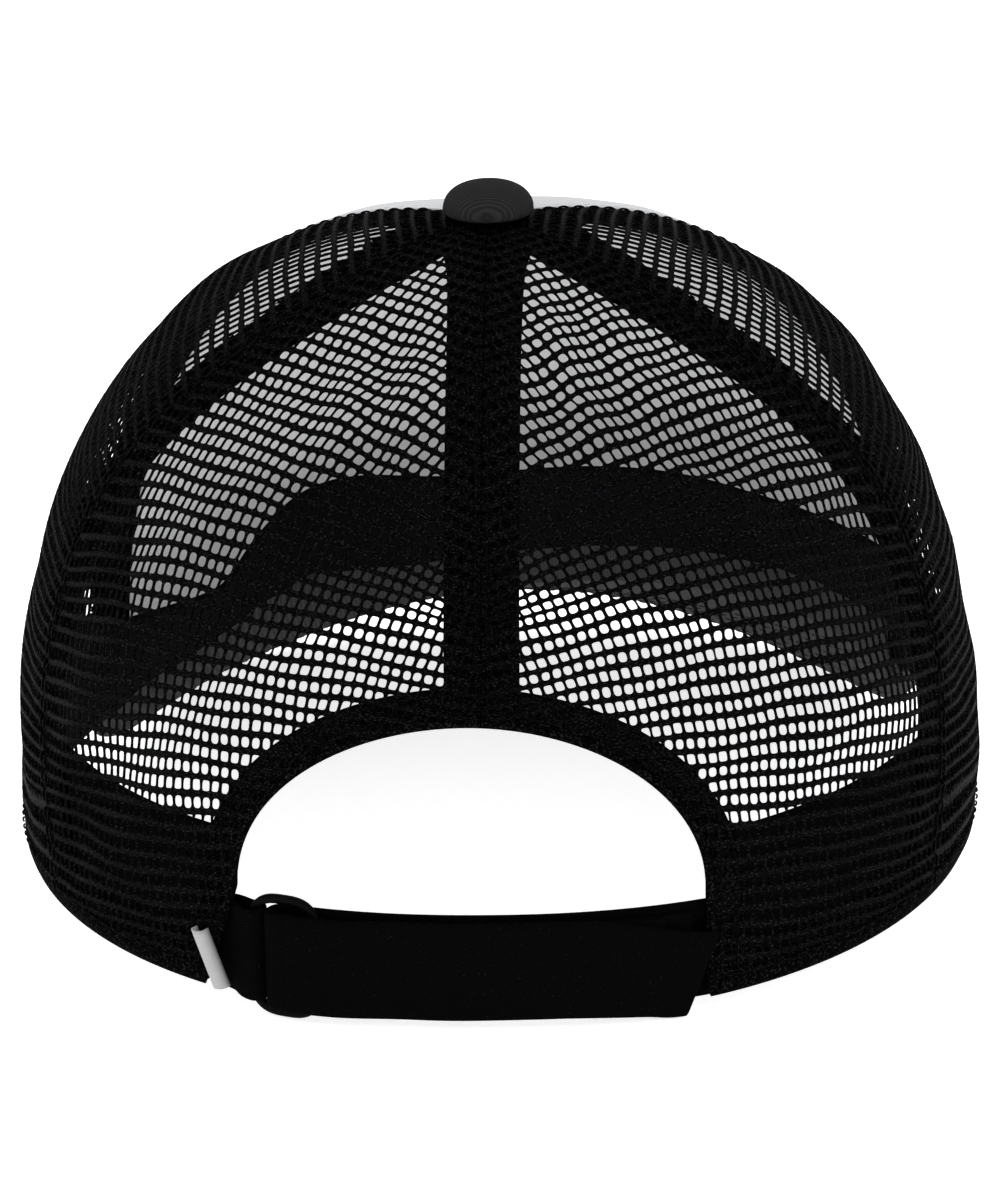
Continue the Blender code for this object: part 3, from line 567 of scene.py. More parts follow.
# Each thread's material name, colour, roughness, specular level and tint; the black thread's tint
# puts pale flecks of painted highlight on it.
THREADS = {
    "black_thread": ("black_thread", (0.0014, 0.0014, 0.0016), 0.55, 0.015, (0.5, 16.0, 0.55, 0.80)),
    "grey_thread": ("charcoal_thread", (0.036, 0.036, 0.038), 0.6, 0.05, (0.6, 1.5)),
    "white_thread": ("white_thread", (0.62, 0.63, 0.64), 0.6, 0.15, (0.9, 1.05)),
}


def knit_paint():
    knit = Paint("knit_yarn", (0.0012, 0.0012, 0.0014), 0.50, specular=0.014)
    fibres = knit.speckle(0.40, 3.0, flat=True, stretch=(0.7, 1.4, 1.0))
    knit.raised(fibres, 0.00010)
    knit.raised(knit.stripes(0.26, 35.0, waver=2.5), 0.00005)
    # Pale flecks on the raised fibres: painted glints of highlight on the glossy yarn.
    knit.tinted(fibres, 0.3, 46.0, *PAINTED_GLINTS)
    knit.tinted(knit.speckle(9.0, 2.0), 0.7, 1.3)
    knit.roughened(knit.speckle(0.5, 2.0), 0.38, 0.66)
    return knit


def tape_paint():
    tape = Paint("seam_tape", (0.0012, 0.0012, 0.0014), 0.80, specular=0.008)
    twill(tape, 0.55, 60.0, 0.00008)
    # Pale flecks: painted glints of highlight on the tape's yarn.
    tape.tinted(tape.speckle(0.45, 3.0), 0.3, 34.0, *PAINTED_GLINTS)
    return tape


def band_paint():
    band = Paint("sweatband_cloth", (0.0040, 0.0040, 0.0046), 0.88, specular=0.01)
    twill(band, 0.70, 45.0, 0.00005)
    band.tinted(band.speckle(14.0, 2.0), 0.8, 1.2)
    return band


def charcoal_paint():
    charcoal = Paint("charcoal_cloth", (0.045, 0.045, 0.047), 0.80, specular=0.02)
    twill(charcoal, 0.60, 28.0, 0.00012, (0.45, 1.6))
    charcoal.tinted(charcoal.speckle(6.0, 2.0), 0.85, 1.15)
    return charcoal


def ribbed_paint():
    ribbed = Paint("button_rib", (0.0185, 0.0185, 0.0188), 0.80, specular=0.02)
    ribs = ribbed.stripes(0.55, 90.0, waver=0.5)
    ribbed.raised(ribs, 0.00010)
    ribbed.tinted(ribs, 0.70, 1.3)
    ribbed.raised(ribbed.speckle(0.15, 2.0), 0.00003)
    return ribbed


def white_paint():
    white = Paint("white_cloth", (0.66, 0.67, 0.685), 0.80, sheen=0.03, specular=0.10)
    twill(white, 0.55, 50.0, 0.00009, (0.88, 1.08))
    white.tinted(white.speckle(30.0, 2.0), 0.97, 1.02)
    return white


def lining_paint():
    """Backing that daylight comes through; its glow stands for that light."""
    lining = Paint("fused_backing", (0.52, 0.525, 0.52), 0.90, specular=0.2)
    lining.glows(LIGHT_THROUGH_FRONT)
    for angle in (0.0, 90.0):
        lining.raised(lining.stripes(1.1, angle, waver=0.5), 0.00005)
    lining.tinted(lining.speckle(12.0, 3.0), 0.93, 1.05)
    return lining


def web_paint():
    web = Paint("strap_twill", (0.0016, 0.0016, 0.0018), 0.86, specular=0.008)
    twill(web, 0.52, 104.0, 0.00010, (0.2, 3.4))
    web.tinted(web.speckle(7.0, 3.0), 0.7, 1.4)
    # Pale flecks: painted glints of highlight on the webbing's yarn.
    web.tinted(web.speckle(0.30, 3.0), 0.7, 40.0, 0.68, 0.82)
    return web


def pile_paint():
    pile = Paint("pile_tape", (0.002, 0.002, 0.0023), 0.95, specular=0.01)
    pile.raised(pile.speckle(0.22, 4.0), 0.00025)
    pile.tinted(pile.speckle(0.4, 3.0), 0.4, 1.8)
    return pile


def plastic_paint():
    plastic = Paint("ring_plastic", (0.0012, 0.0012, 0.0014), 0.34, specular=0.035)
    plastic.raised(plastic.speckle(0.5, 3.0), 0.00002)
    plastic.roughened(plastic.speckle(2.5, 4.0), 0.27, 0.45)
    plastic.tinted(plastic.speckle(3.0), 0.8, 1.2)
    return plastic


def label_paint():
    label = Paint("label_ribbon", (0.42, 0.425, 0.42), 0.62, specular=0.10)
    label.raised(label.stripes(0.22, 0.0, waver=0.3), 0.00003)
    label.tinted(label.speckle(1.5, 3.0), 0.94, 1.03)
    return label


def thread_paint(name, colour, roughness, specular, tint):
    thread = Paint(name, colour, roughness, specular=specular)
    thread.raised(thread.speckle(0.10, 2.0), 0.00004)
    # On the black thread this tint paints pale glints of highlight; on the others it varies the tone
    # at random.
    thread.tinted(thread.speckle(0.3), *tint)
    return thread


def board_paint():
    board = Paint("brim_board", (0.75, 0.75, 0.73), 0.60)
    board.raised(board.speckle(0.8, 4.0), 0.00003)
    board.tinted(board.speckle(5.0), 0.92, 1.05)
    return board


def metal_paint():
    metal = Paint("button_metal", (0.60, 0.60, 0.61), 0.34, metallic=1.0)
    metal.raised(metal.speckle(0.3, 3.0), 0.00001)
    metal.roughened(metal.speckle(1.5, 3.0), 0.26, 0.46)
    return metal


def make_paints():
    paints = {"knit": knit_paint(), "tape": tape_paint(), "band": band_paint(),
              "charcoal": charcoal_paint(), "ribbed": ribbed_paint(), "white": white_paint(),
              "lining": lining_paint(), "web": web_paint(), "pile": pile_paint(),
              "plastic": plastic_paint(), "label": label_paint()}
    for key, looks in THREADS.items():
        paints[key] = thread_paint(*looks)
    paints["board"], paints["metal"] = board_paint(), metal_paint()
    return {key: paint.material for key, paint in paints.items()}


PAINTS = make_paints()


# ---- cloth laid on the crown -----------------------------------------------------------------
class Grain:
    """Flat cloth laid on the crown: its rows cross the panel's middle line at right angles."""
    STEP = 0.001

    def __init__(self, left, right, half_width):
        rises = np.linspace(-0.12, 0.997, 500)
        middle = 0.5 * (left(rises) + right(rises))
        steps = np.linalg.norm(np.diff(crown(middle, rises), axis=0), axis=1)
        length = np.concatenate([[0.0], np.cumsum(steps)])
        length -= np.interp(0.0, rises, length)
        self.low = math.ceil(length[0] / self.STEP) * self.STEP
        self.high = math.floor(length[-1] / self.STEP) * self.STEP
        rows = np.arange(round((self.high - self.low) / self.STEP) + 1)
        rise = np.interp(self.low + rows * self.STEP, length, rises)
        azimuth = 0.5 * (left(rise) + right(rise))
        ahead, behind = np.minimum(rise + 0.01, 0.998), rise - 0.01
        climb = unit(crown(0.5 * (left(ahead) + right(ahead)), ahead)
                     - crown(0.5 * (left(behind) + right(behind)), behind))
        self.half = math.ceil(half_width / self.STEP) * self.STEP
        reach = round(self.half / self.STEP)
        table = np.zeros((len(rows), 2 * reach + 1, 2))
        table[:, reach] = np.stack([azimuth, rise], axis=-1)
        for way in (-1, 1):
            az, ri = azimuth.copy(), rise.copy()
            for step in range(1, reach + 1):
                half_az, half_ri = self.walk(az, ri, climb, 0.5 * way * self.STEP, az, ri)
                az, ri = self.walk(half_az, half_ri, climb, way * self.STEP, az, ri)
                table[:, reach + way * step] = np.stack([az, ri], axis=-1)
        self.table = table

    @staticmethod
    def walk(at_az, at_rise, climb, distance, from_az, from_rise):
        """One step along a row, by the slopes at one place, from another."""
        along, up = crown_slopes(at_az, at_rise)
        way = distance * unit(np.cross(np.cross(up, along), climb))
        aa, ab, bb = (along * along).sum(-1), (along * up).sum(-1), (up * up).sum(-1)
        wa, wb = (way * along).sum(-1), (way * up).sum(-1)
        flat = np.maximum(aa * bb - ab * ab, 1e-16)
        d_az = np.clip((wa * bb - wb * ab) / flat, -6.0, 6.0)
        d_rise = np.clip((wb * aa - wa * ab) / flat, -0.02, 0.02)
        return from_az + d_az, np.clip(from_rise + d_rise, -0.2, 0.998)

    def locate(self, u, v):
        """Azimuth and rise of flat cloth points."""
        rows, columns = self.table.shape[:2]
        x = np.clip((np.asarray(u) + self.half) / self.STEP, 0.0, columns - 1.001)
        y = np.clip((np.asarray(v) - self.low) / self.STEP, 0.0, rows - 1.001)
        i, j = x.astype(int), y.astype(int)
        fx, fy = (x - i)[..., None], (y - j)[..., None]
        t = self.table
        found = ((1 - fy) * ((1 - fx) * t[j, i] + fx * t[j, i + 1])
                 + fy * ((1 - fx) * t[j + 1, i] + fx * t[j + 1, i + 1]))
        return found[..., 0], found[..., 1]


class Outline:
    """A panel's cut edge: two seams, the rim, the hole at the top, and the arch if it has one."""

    def __init__(self, left, right, arch=0, low=0.0, hem=None, high=1.0):
        self.left, self.right, self.arch = left, right, arch
        self.low, self.hem, self.high = low, hem, high

    def trim(self, azimuth, rise):
        """Pulls points back to the edge. Returns the points and which of them were outside."""
        low = np.full(azimuth.shape, self.low)
        high = np.minimum(top_rise(azimuth), self.high)
        outside = (rise < low) | (rise > high)
        rise = np.clip(rise, low, high)
        left, right = self.left(rise), self.right(rise)
        outside |= (azimuth < left) | (azimuth > right)
        azimuth = np.clip(azimuth, left, right)
        if self.arch:
            azimuth, rise, cut = self.trim_arch(azimuth, rise, 0.0, False)
            outside |= cut
        if self.hem:
            azimuth, rise, cut = self.trim_arch(azimuth, rise, self.hem, True)
            outside |= cut
        return azimuth, np.maximum(rise, self.low), outside

    def trim_arch(self, azimuth, rise, spread, beyond):
        """Moves points inside the arch out to its edge, or points beyond the edge back to it."""
        p = crown(azimuth, rise)
        x, z = p[..., 0] - ARCH_CENTRE_X, p[..., 2]
        wide, tall = ARCH_HALF_WIDTH + spread, ARCH_RISE + spread
        up = z - ARCH_SPRING_Z
        size = np.hypot(x / wide, np.clip(up, 0.0, None) / tall)
        flare = ARCH_LEG_FLARE * np.clip(1.0 - z / ARCH_SPRING_Z, 0.0, 1.0) * (self.arch > 0)
        inside = np.where(up > 0.0, size < 1.0, np.abs(x) < wide + flare)
        cut = ~inside if beyond else inside & (p[..., 1] > 0.0)
        if not cut.any():
            return azimuth, rise, cut
        scale = 1.0 / np.maximum(size[cut], 0.05)
        above = up[cut] > 0.0
        leg = self.arch * (wide + flare[cut])
        to_x = ARCH_CENTRE_X + np.where(above, x[cut] * scale, leg)
        to_z = np.where(above, ARCH_SPRING_Z + up[cut] * scale, z[cut])
        new_azimuth, new_rise = azimuth.copy(), rise.copy()
        new_azimuth[cut], new_rise[cut] = address(azimuth[cut], rise[cut], to_x, to_z)
        return new_azimuth, new_rise, cut


def waves(u, v, seed, lengths=(0.021, 0.034, 0.055), size=0.0004):
    """Soft ripples over a panel: a few sines with their own headings."""
    draw = np.random.default_rng(seed)
    total = np.zeros(np.shape(u))
    for length in lengths:
        heading, phase = draw.uniform(0.0, 2.0 * np.pi, 2)
        total = total + size * np.sin(2.0 * np.pi * (u * np.cos(heading) + v * np.sin(heading))
                                      / length + phase)
    return total


def crease(u, v, middle, heading, length, reach, size):
    """A few parallel folds that fade out round a place."""
    x, y = u - middle[0], v - middle[1]
    heading = math.radians(heading)
    across, along = x * math.cos(heading) + y * math.sin(heading), 0.5 * reach
    fade = np.exp(-(x * x + y * y) / (2.0 * along * along))
    return size * fade * np.sin(2.0 * np.pi * across / length)


def hole_shape(corners, squareness, lean):
    """A hole's outline on a unit cell, one point for each point of the cell's border."""
    reach = (np.abs(corners) ** squareness).sum(-1) ** (-1.0 / squareness)
    shape = corners * reach[:, None]
    shape[:, 0] += lean * shape[:, 1]
    return shape


def border_steps(sides):
    """Points round a cell, sides to a side, as whole steps from its lower left corner."""
    run = np.arange(sides)
    zero, full = np.zeros(sides, int), np.full(sides, sides)
    return np.concatenate([np.stack([run, zero], -1), np.stack([full, run], -1),
                           np.stack([full - run, full], -1), np.stack([zero, full - run], -1)])


def knit_cells(u_range, v_range, sides):
    """The knit's cells in a stretch of cloth, and the points round each cell in whole steps."""
    columns = np.arange(math.floor(u_range[0] / HOLE_PITCH), math.ceil(u_range[1] / HOLE_PITCH))
    rows = np.arange(math.floor(v_range[0] / ROW_PITCH), math.ceil(v_range[1] / ROW_PITCH))
    cell = np.stack(np.meshgrid(columns, rows, indexing="ij"), axis=-1).reshape(-1, 2)
    return cell, cell[:, None] * sides + border_steps(sides)[None]


def knit_holes(cell, sides, lean, draw):
    """The outline of each cell's hole: square and rounder rows by turns, each hole a bit its own."""
    corners = border_steps(sides) / sides * 2.0 - 1.0
    square = hole_shape(corners, 5.0, -0.18 * lean)
    rounder = hole_shape(corners, 2.7, -0.06 * lean)
    shape = np.where((cell[:, 1] % 2 == 0)[:, None, None], square[None], rounder[None])
    count = len(cell)
    half = 0.5 * np.array([HOLE_WIDTH, HOLE_HEIGHT]) * draw.normal(1.0, 0.035, (count, 1, 2))
    shape[..., 0] += draw.normal(0.0, 0.05, (count, 1)) * shape[..., 1]
    middle = (cell[:, None] + 0.5) * CELL + draw.normal(0.0, 0.00004, (count, 1, 2))
    return middle + half * shape


def knit_faces(front, shared):
    """Faces of the yarn round each hole, down from its front over its crest and under its back."""
    hole = 2 * shared + np.arange(front.size).reshape(front.shape)
    crest = hole + front.size

    def band(inner, outer):
        after_inner, after_outer = np.roll(inner, -1, axis=1), np.roll(outer, -1, axis=1)
        return np.stack([inner, after_inner, after_outer, outer], axis=-1).reshape(-1, 4)

    return np.concatenate([band(crest, front), band(hole, crest), band(front + shared, hole)])


def freedom(cut, azimuth, rise):
    """How free the cloth is to ripple: not at all at its seams, its rim and its top."""
    inside_by = np.minimum(azimuth - cut.left(rise), cut.right(rise) - azimuth)
    inside_by = np.radians(np.abs(inside_by)) * np.maximum(spoke(azimuth, rise), 0.002)
    return ease(inside_by, 0.002, 0.016) * ease(rise, 0.02, 0.16) * ease(1.0 - rise, 0.03, 0.2)


def net(name, grain, cut, depth, seed, u_range, v_range, sides=4, ripple=1.0, shift=(0.0, 0.0),
        lean=1.0, creases=()):
    """Knitted mesh with real holes, laid on the crown and trimmed to its cut."""
    def laid(flat):
        u, v = flat[..., 0] + shift[0], flat[..., 1] + shift[1]
        wobble = ripple * waves(u, v, seed + 50, (0.018, 0.030, 0.047), 0.00022)
        return cut.trim(*grain.locate(u, v + wobble))

    cell, keys = knit_cells(u_range, v_range, sides)
    keep = ~laid(keys / sides * CELL)[2].all(axis=1)
    cell, keys = cell[keep], keys[keep]
    draw = np.random.default_rng(seed)
    hole = knit_holes(cell, sides, lean, draw)
    crest = hole + CREST_SHARE * (keys / sides * CELL - hole)
    unique, front = np.unique(keys.reshape(-1, 2), axis=0, return_inverse=True)
    shared = unique / sides * CELL
    flats = np.concatenate([shared, shared, hole.reshape(-1, 2), crest.reshape(-1, 2)])
    heights = np.concatenate([np.full(len(shared), YARN_GROOVE), np.full(len(shared), -YARN_BACK),
                              np.zeros(hole.size // 2),
                              YARN_CREST * draw.normal(1.0, 0.12, crest.size // 2)])
    azimuth, rise, outside = laid(flats)
    ripples = waves(flats[:, 0], flats[:, 1], seed)
    for folds in creases:
        ripples = ripples + crease(flats[:, 0], flats[:, 1], *folds)
    heights = np.where(outside, 0.0, heights) + ripple * freedom(cut, azimuth, rise) * ripples
    points = shell(azimuth, rise, depth - heights)
    faces = knit_faces(front.reshape(keys.shape[:2]), len(shared))
    faces = faces[~outside[faces].all(axis=1)]
    used, faces = np.unique(faces, return_inverse=True)
    faces = faces.reshape(-1, 4)
    return piece(name, points[used], faces, flats[used], PAINTS["knit"], merge=2e-6, sharp=75.0)


def crown_sheet(name, left, right, low, top_spoke, depth, columns, rows, paint, thickness, lift=None):
    """Plain cloth between two seams, from a rise at its foot up to a distance from the apex."""
    share = np.linspace(0.0, 1.0, columns)[None, :]
    middle = np.linspace(0.0, 1.0, rows)[:, None] ** 0.9
    rise = np.full((rows, columns), low)
    for _ in range(6):
        azimuth = left(rise) + share * (right(rise) - left(rise))
        high = bisect(lambda r: top_spoke - spoke(azimuth, r), 0.3, 0.9995, azimuth.shape)
        rise = low + middle * (high - low)
    across = np.linalg.norm(np.diff(crown(azimuth, rise), axis=1), axis=-1)
    u = np.concatenate([np.zeros((rows, 1)), np.cumsum(across, axis=1)], axis=1)
    u -= 0.5 * u[:, -1:]
    up = np.linalg.norm(np.diff(crown(azimuth, rise), axis=0), axis=-1)
    v = np.concatenate([np.zeros((1, columns)), np.cumsum(up, axis=0)])
    proud = 0.0
    if lift:
        proud = lift(u, v) * ease(share, 0.0, 0.08) * ease(1.0 - share, 0.0, 0.08)
    grid = shell(azimuth, rise, depth - proud)
    return grid_piece(name, grid, np.stack([u, v], axis=-1), PAINTS[paint], thickness)


# ---- seams -----------------------------------------------------------------------------------
SEAMS = {
    "centre_back": lambda r: np.zeros(np.shape(r)),
    "back_left": back_seam,
    "back_right": lambda r: -back_seam(r),
    "front_left": lambda r: np.full(np.shape(r), FRONT_SEAM),
    "front_right": lambda r: np.full(np.shape(r), -FRONT_SEAM),
}
OVER_ARCH = float(rise_at_height(0.0, ARCH_SPRING_Z + ARCH_RISE + 0.0012))


def edge(seam, distance):
    """A line this far to one side of a seam, as an azimuth for each rise."""
    return lambda r: beside(seam(r), r, distance)


def rise_near_button(seam, radius):
    """Where a seam comes this near to the crown's middle."""
    return float(bisect(lambda r: radius - spoke(seam(r), r), 0.3, 0.999, (1,))[0])


def seam_line(seam, distance, low):
    """A path beside a seam up to the button's foot, and its normals."""
    rise = np.linspace(low, rise_near_button(seam, SEAM_STITCH_TOP), 160)
    azimuth = beside(seam(rise), rise, distance)
    return crown(azimuth, rise), crown_normal(azimuth, rise)


def tape_strip(name, seam, low, half):
    """A woven tape inside a seam, its edges lifted a little by their stitching."""
    rise = low + (rise_near_button(seam, EYE_RADIUS) - low) * np.linspace(0.0, 1.0, 150)
    grid_rise, share = np.meshgrid(rise, np.linspace(-1.0, 1.0, 13), indexing="ij")
    azimuth = beside(seam(grid_rise), grid_rise, half * share)
    ridge = TAPE_RIDGE * np.exp(-((np.abs(share) - 0.82) / 0.07) ** 2)
    grid = shell(azimuth, grid_rise, INNER_DEPTH - ridge)
    length = np.broadcast_to(np.linspace(0.0, 0.13, 150)[:, None], share.shape)
    uvs = np.stack([half * share, length], axis=-1)
    return grid_piece(name, grid, uvs, PAINTS["tape"], TAPE)


def build_seams():
    """The tape inside each seam, and the doubled mesh that it covers."""
    half = 0.5 * TAPE_WIDTH
    for key, seam in SEAMS.items():
        foot, low, length = 0.0, 0.004, SEAM_TAPE_LENGTH
        if key == "centre_back":
            foot, low, length = OVER_ARCH, OVER_ARCH + 0.012, CENTRE_TAPE_LENGTH
        tape = tape_strip(f"tape_{key}", seam, low, half)
        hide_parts(f"seam_tape_{key}")
        grain = Grain(seam, seam, 0.009)
        inset = half - 0.0002
        cut = Outline(edge(seam, -inset), edge(seam, inset), low=foot)
        doubled = net(f"allowance_{key}", grain, cut, ALLOWANCE_DEPTH, 31, (-0.008, 0.008),
                      (-0.004, grain.high), sides=2, ripple=0.0, shift=(0.0007, 0.0013))


# ---- panels ----------------------------------------------------------------------------------
def doubled_edges(node, cut, grain, way):
    """The panel's cloth turned in along the rim and, if it has one, the arch."""
    part = node.replace("_mesh", "")
    rim = Outline(cut.left, cut.right, cut.arch, high=RIM_HEM_RISE)
    hems = [(f"rim_hem_{part}", rim, RIM_HEM_TOP)]
    if cut.arch:
        arch = Outline(cut.left, cut.right, cut.arch, hem=ARCH_TAPE_WIDTH)
        hems.append((f"arch_hem_{part}", arch, ARCH_HEM_TOP))
    doubled = [net(name, grain, hem, ALLOWANCE_DEPTH, 41, (-PANEL_REACH, PANEL_REACH),
                   (PANEL_FOOT, top), sides=2, ripple=0.0, shift=(0.0009, 0.0011), lean=way)
               for name, hem, top in hems]
    return doubled


def panel_cut(first, last, arch=0):
    """The cut of a panel between two seams."""
    return Outline(edge(SEAMS[first], SEAM_GAP), edge(SEAMS[last], -SEAM_GAP), arch)


def build_net_panels():
    panels = [
        ("back_mesh_left", panel_cut("centre_back", "back_left", 1), 11, 1.0, BACK_PANEL_AREA),
        ("back_mesh_right", panel_cut("back_right", "centre_back", -1), 12, 1.0, BACK_PANEL_AREA),
        ("side_mesh_left", panel_cut("back_left", "front_left"), 13, 0.5, SIDE_PANEL_AREA),
        ("side_mesh_right", panel_cut("front_right", "back_right"), 14, 0.5, SIDE_PANEL_AREA),
    ]
    for node, cut, seed, ripple, area in panels:
        grain = Grain(cut.left, cut.right, PANEL_REACH + 0.001)
        way = 1.0 if node.endswith("left") else -1.0
        panel = net(f"{node}_net", grain, cut, NET_DEPTH, seed, (-PANEL_REACH, PANEL_REACH),
                    (PANEL_FOOT, grain.high + 0.002), ripple=ripple, lean=way,
                    creases=CREASES.get(node, ()))
        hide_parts(node)
        on_edge = doubled_edges(node, cut, grain, way)
        if node == "back_mesh_left":
            on_edge.append("arch_tape_cloth")


def front_fullness(u, v):
    """The stiffened front stands a little proud of its seams, most of all near the top."""
    return FRONT_FULLNESS * ease(v, 0.030, 0.110) + waves(u, v, 21, size=0.00010)


def front_edges(gap):
    """The front's two seams, this far inside them; it runs on through 180 degrees."""
    return edge(SEAMS["front_left"], gap), lambda r: beside(360.0 - FRONT_SEAM, r, -gap)


def build_front():
    front = crown_sheet("front_cloth", *front_edges(FRONT_SEAM_GAP), 0.0, EYE_RADIUS, 0.0,
                        141, 110, "white", FABRIC, front_fullness)
    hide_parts("front_panel")
    backing = crown_sheet("front_backing", *front_edges(0.5 * TAPE_WIDTH + LAYER_GAP),
                          BACKING_FOOT, BACKING_TOP_RADIUS, INNER_DEPTH, 121, 90, "lining", TAPE)
    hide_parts("front_stiffener")


def build_seam_stitches():
    black, white = [], []
    for key in ("centre_back", "back_left", "back_right"):
        low = OVER_ARCH + 0.004 if key == "centre_back" else SEAM_STITCH_FOOT
        for distance in (-SEAM_STITCH, SEAM_STITCH):
            black.append(seam_line(SEAMS[key], distance, low))
    for key, way in (("front_left", -1.0), ("front_right", 1.0)):
        black.append(seam_line(SEAMS[key], way * SEAM_STITCH, SEAM_STITCH_FOOT))
        for distance in FRONT_STITCHES:
            white.append(seam_line(SEAMS[key], -way * distance, SEAM_STITCH_FOOT))
    stitch_piece("seam_stitches", black, PAINTS["black_thread"])
    stitch_piece("front_stitches", white, PAINTS["white_thread"])


# ---- arch and rim ----------------------------------------------------------------------------
def arch_line(spread, step=0.0012):
    """Azimuth and rise along the arch's edge, from its right foot over the top to its left."""
    tall, wide = ARCH_RISE + spread, ARCH_HALF_WIDTH + spread
    legs = np.arange(0.0006, ARCH_SPRING_Z, step)
    turn = np.radians(np.linspace(-90.0, 90.0, round(math.pi * 0.5 * (tall + wide) / step)))
    flare = ARCH_LEG_FLARE * (1.0 - legs / ARCH_SPRING_Z)
    x = np.concatenate([np.full(len(legs), -wide), wide * np.sin(turn), (wide + flare)[::-1]])
    z = np.concatenate([legs, ARCH_SPRING_Z + tall * np.cos(turn), legs[::-1]])
    first = np.degrees(np.arcsin(np.clip((x + ARCH_CENTRE_X) / HALF_WIDTH, -0.9, 0.9)))
    azimuth, rise = address(first, rise_at_height(first, z), x + ARCH_CENTRE_X, z)
    return azimuth[rise > 0.0], rise[rise > 0.0]


def arch_path(spread, depth):
    azimuth, rise = arch_line(spread)
    return shell(azimuth, rise, depth), crown_normal(azimuth, rise)


def resampled(line, count):
    """The same path in this many points."""
    pick = np.linspace(0.0, len(line) - 1.0, count)
    low = np.floor(pick).astype(int).clip(0, len(line) - 2)
    share = (pick - low)[:, None]
    return line[low] * (1.0 - share) + line[low + 1] * share


def build_arch():
    spreads = np.linspace(0.0004, ARCH_TAPE_WIDTH + 0.0004, 9)
    lines = [arch_path(spread, INNER_DEPTH - 0.0002)[0] for spread in spreads]
    count = len(arch_line(0.003)[0])
    grid = np.stack([resampled(line, count) for line in lines])
    length = lengths_along(grid[4])
    uvs = np.stack(np.meshgrid(length, spreads, indexing="xy"), axis=-1)
    tape = grid_piece("arch_tape_cloth", grid, uvs, PAINTS["tape"], TAPE)
    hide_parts("arch_tape")
    edge_path = arch_path(0.0, ARCH_ROLL_DEPTH)[0]
    roll = tube("arch_rolled_edge", edge_path, ARCH_ROLL_RADIUS, PAINTS["tape"], sides=10)
    rows = [arch_path(distance, STITCH_PROUD) for distance in ARCH_STITCHES]
    stitch_piece("arch_stitches", rows, PAINTS["black_thread"])


def rim_path(start, end, depth, rise):
    """A path round the crown at one rise, a point for each degree, and its normals."""
    azimuth = np.linspace(start, end, round(abs(end - start)))
    return shell(azimuth, rise, depth), crown_normal(azimuth, rise)


def build_rim():
    """The binding along the rim from the arch to the front, and its stitches."""
    azimuths = arch_line(0.0)[0]
    for side, foot, way in (("left", azimuths[-1], 1.0), ("right", azimuths[0], -1.0)):
        path = rim_path(foot, way * FRONT_SEAM, RIM_BINDING_DEPTH, RIM_BINDING_RISE)[0]
        roll = tube(f"rim_rolled_edge_{side}", path, RIM_BINDING_RADIUS, PAINTS["tape"],
                    squash=RIM_BINDING_SQUASH)
        rows = [rim_path(foot, way * FRONT_SEAM, STITCH_PROUD, RIM_STITCH_RISE)]
        stitches = stitch_piece(f"rim_stitches_{side}", rows, PAINTS["black_thread"])


# ---- sweatband -------------------------------------------------------------------------------
def band_grid(count=260, rows=15, inward=0.0):
    start, end = arc_azimuth(BAND_LEFT_ARC), 360.0 + arc_azimuth(BAND_RIGHT_ARC)
    azimuth = np.linspace(start, end, count)[None, :]
    share = np.linspace(0.0, 1.0, rows)[:, None]
    upright = UPRIGHT_SHARE * np.exp(-((azimuth - UPRIGHT_AZIMUTH) / UPRIGHT_SPAN) ** 2)
    lean = np.radians(BAND_LEAN * ease(-np.cos(np.radians(azimuth)), 0.1, 0.8) * (1.0 - upright))
    first, full, last, gone = SAG_AZIMUTHS
    sag = BAND_SAG * ease(azimuth, first, full) * ease(-azimuth, -gone, -last)
    height = rim_height(azimuth) + 0.0003 + share * (BAND_HEIGHT - sag) * np.cos(lean)
    azimuth = np.broadcast_to(azimuth, height.shape)
    widest = crown(azimuth, RIM_SHARE)[..., :2]
    tuck = np.linalg.norm(widest - crown(azimuth, 0.0)[..., :2], axis=-1)
    wall = crown(azimuth, rise_at_height(azimuth, height))[..., :2]
    inset = np.maximum(tuck, np.linalg.norm(widest - wall, axis=-1)) + BAND_DEPTH + inward
    inset = inset + share * BAND_HEIGHT * np.sin(lean)
    arc = np.radians(azimuth) * BAND_PLAN_RADIUS
    puff = 0.00022 * np.sin(2.0 * np.pi * arc / 0.0145 + 1.3 * np.sin(arc / 0.031))
    inset = inset - puff * ease(share, 0.06, 0.3) * ease(1.0 - share, 0.06, 0.3)
    plan = outline(azimuth, -inset)
    grid = np.concatenate([plan, height[..., None]], axis=-1)
    return grid, np.stack(np.broadcast_arrays(arc, share * BAND_HEIGHT), axis=-1)


def build_sweatband():
    grid, uvs = band_grid()
    band = grid_piece("sweatband_cloth", grid, uvs, PAINTS["band"], BAND_THICKNESS, rounds=1)
    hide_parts("sweatband")
    inner, _ = band_grid(count=400, rows=31, inward=BAND_THICKNESS)
    outer, _ = band_grid(count=400, rows=31)
    low, high = 3, 28
    facing = unit(inner[high] - outer[high])
    rows = [(inner[high], facing), (inner[low], facing)]
    stitches = stitch_piece("sweatband_stitches", rows, PAINTS["black_thread"], length=0.0030)


# ---- brim ------------------------------------------------------------------------------------
def brim_sheet(x, y):
    root_z = rim_height(180.0)
    return root_z + BRIM_SLOPE * (y + FRONT_LENGTH) - x * x / (2.0 * BRIM_CURVE_RADIUS)


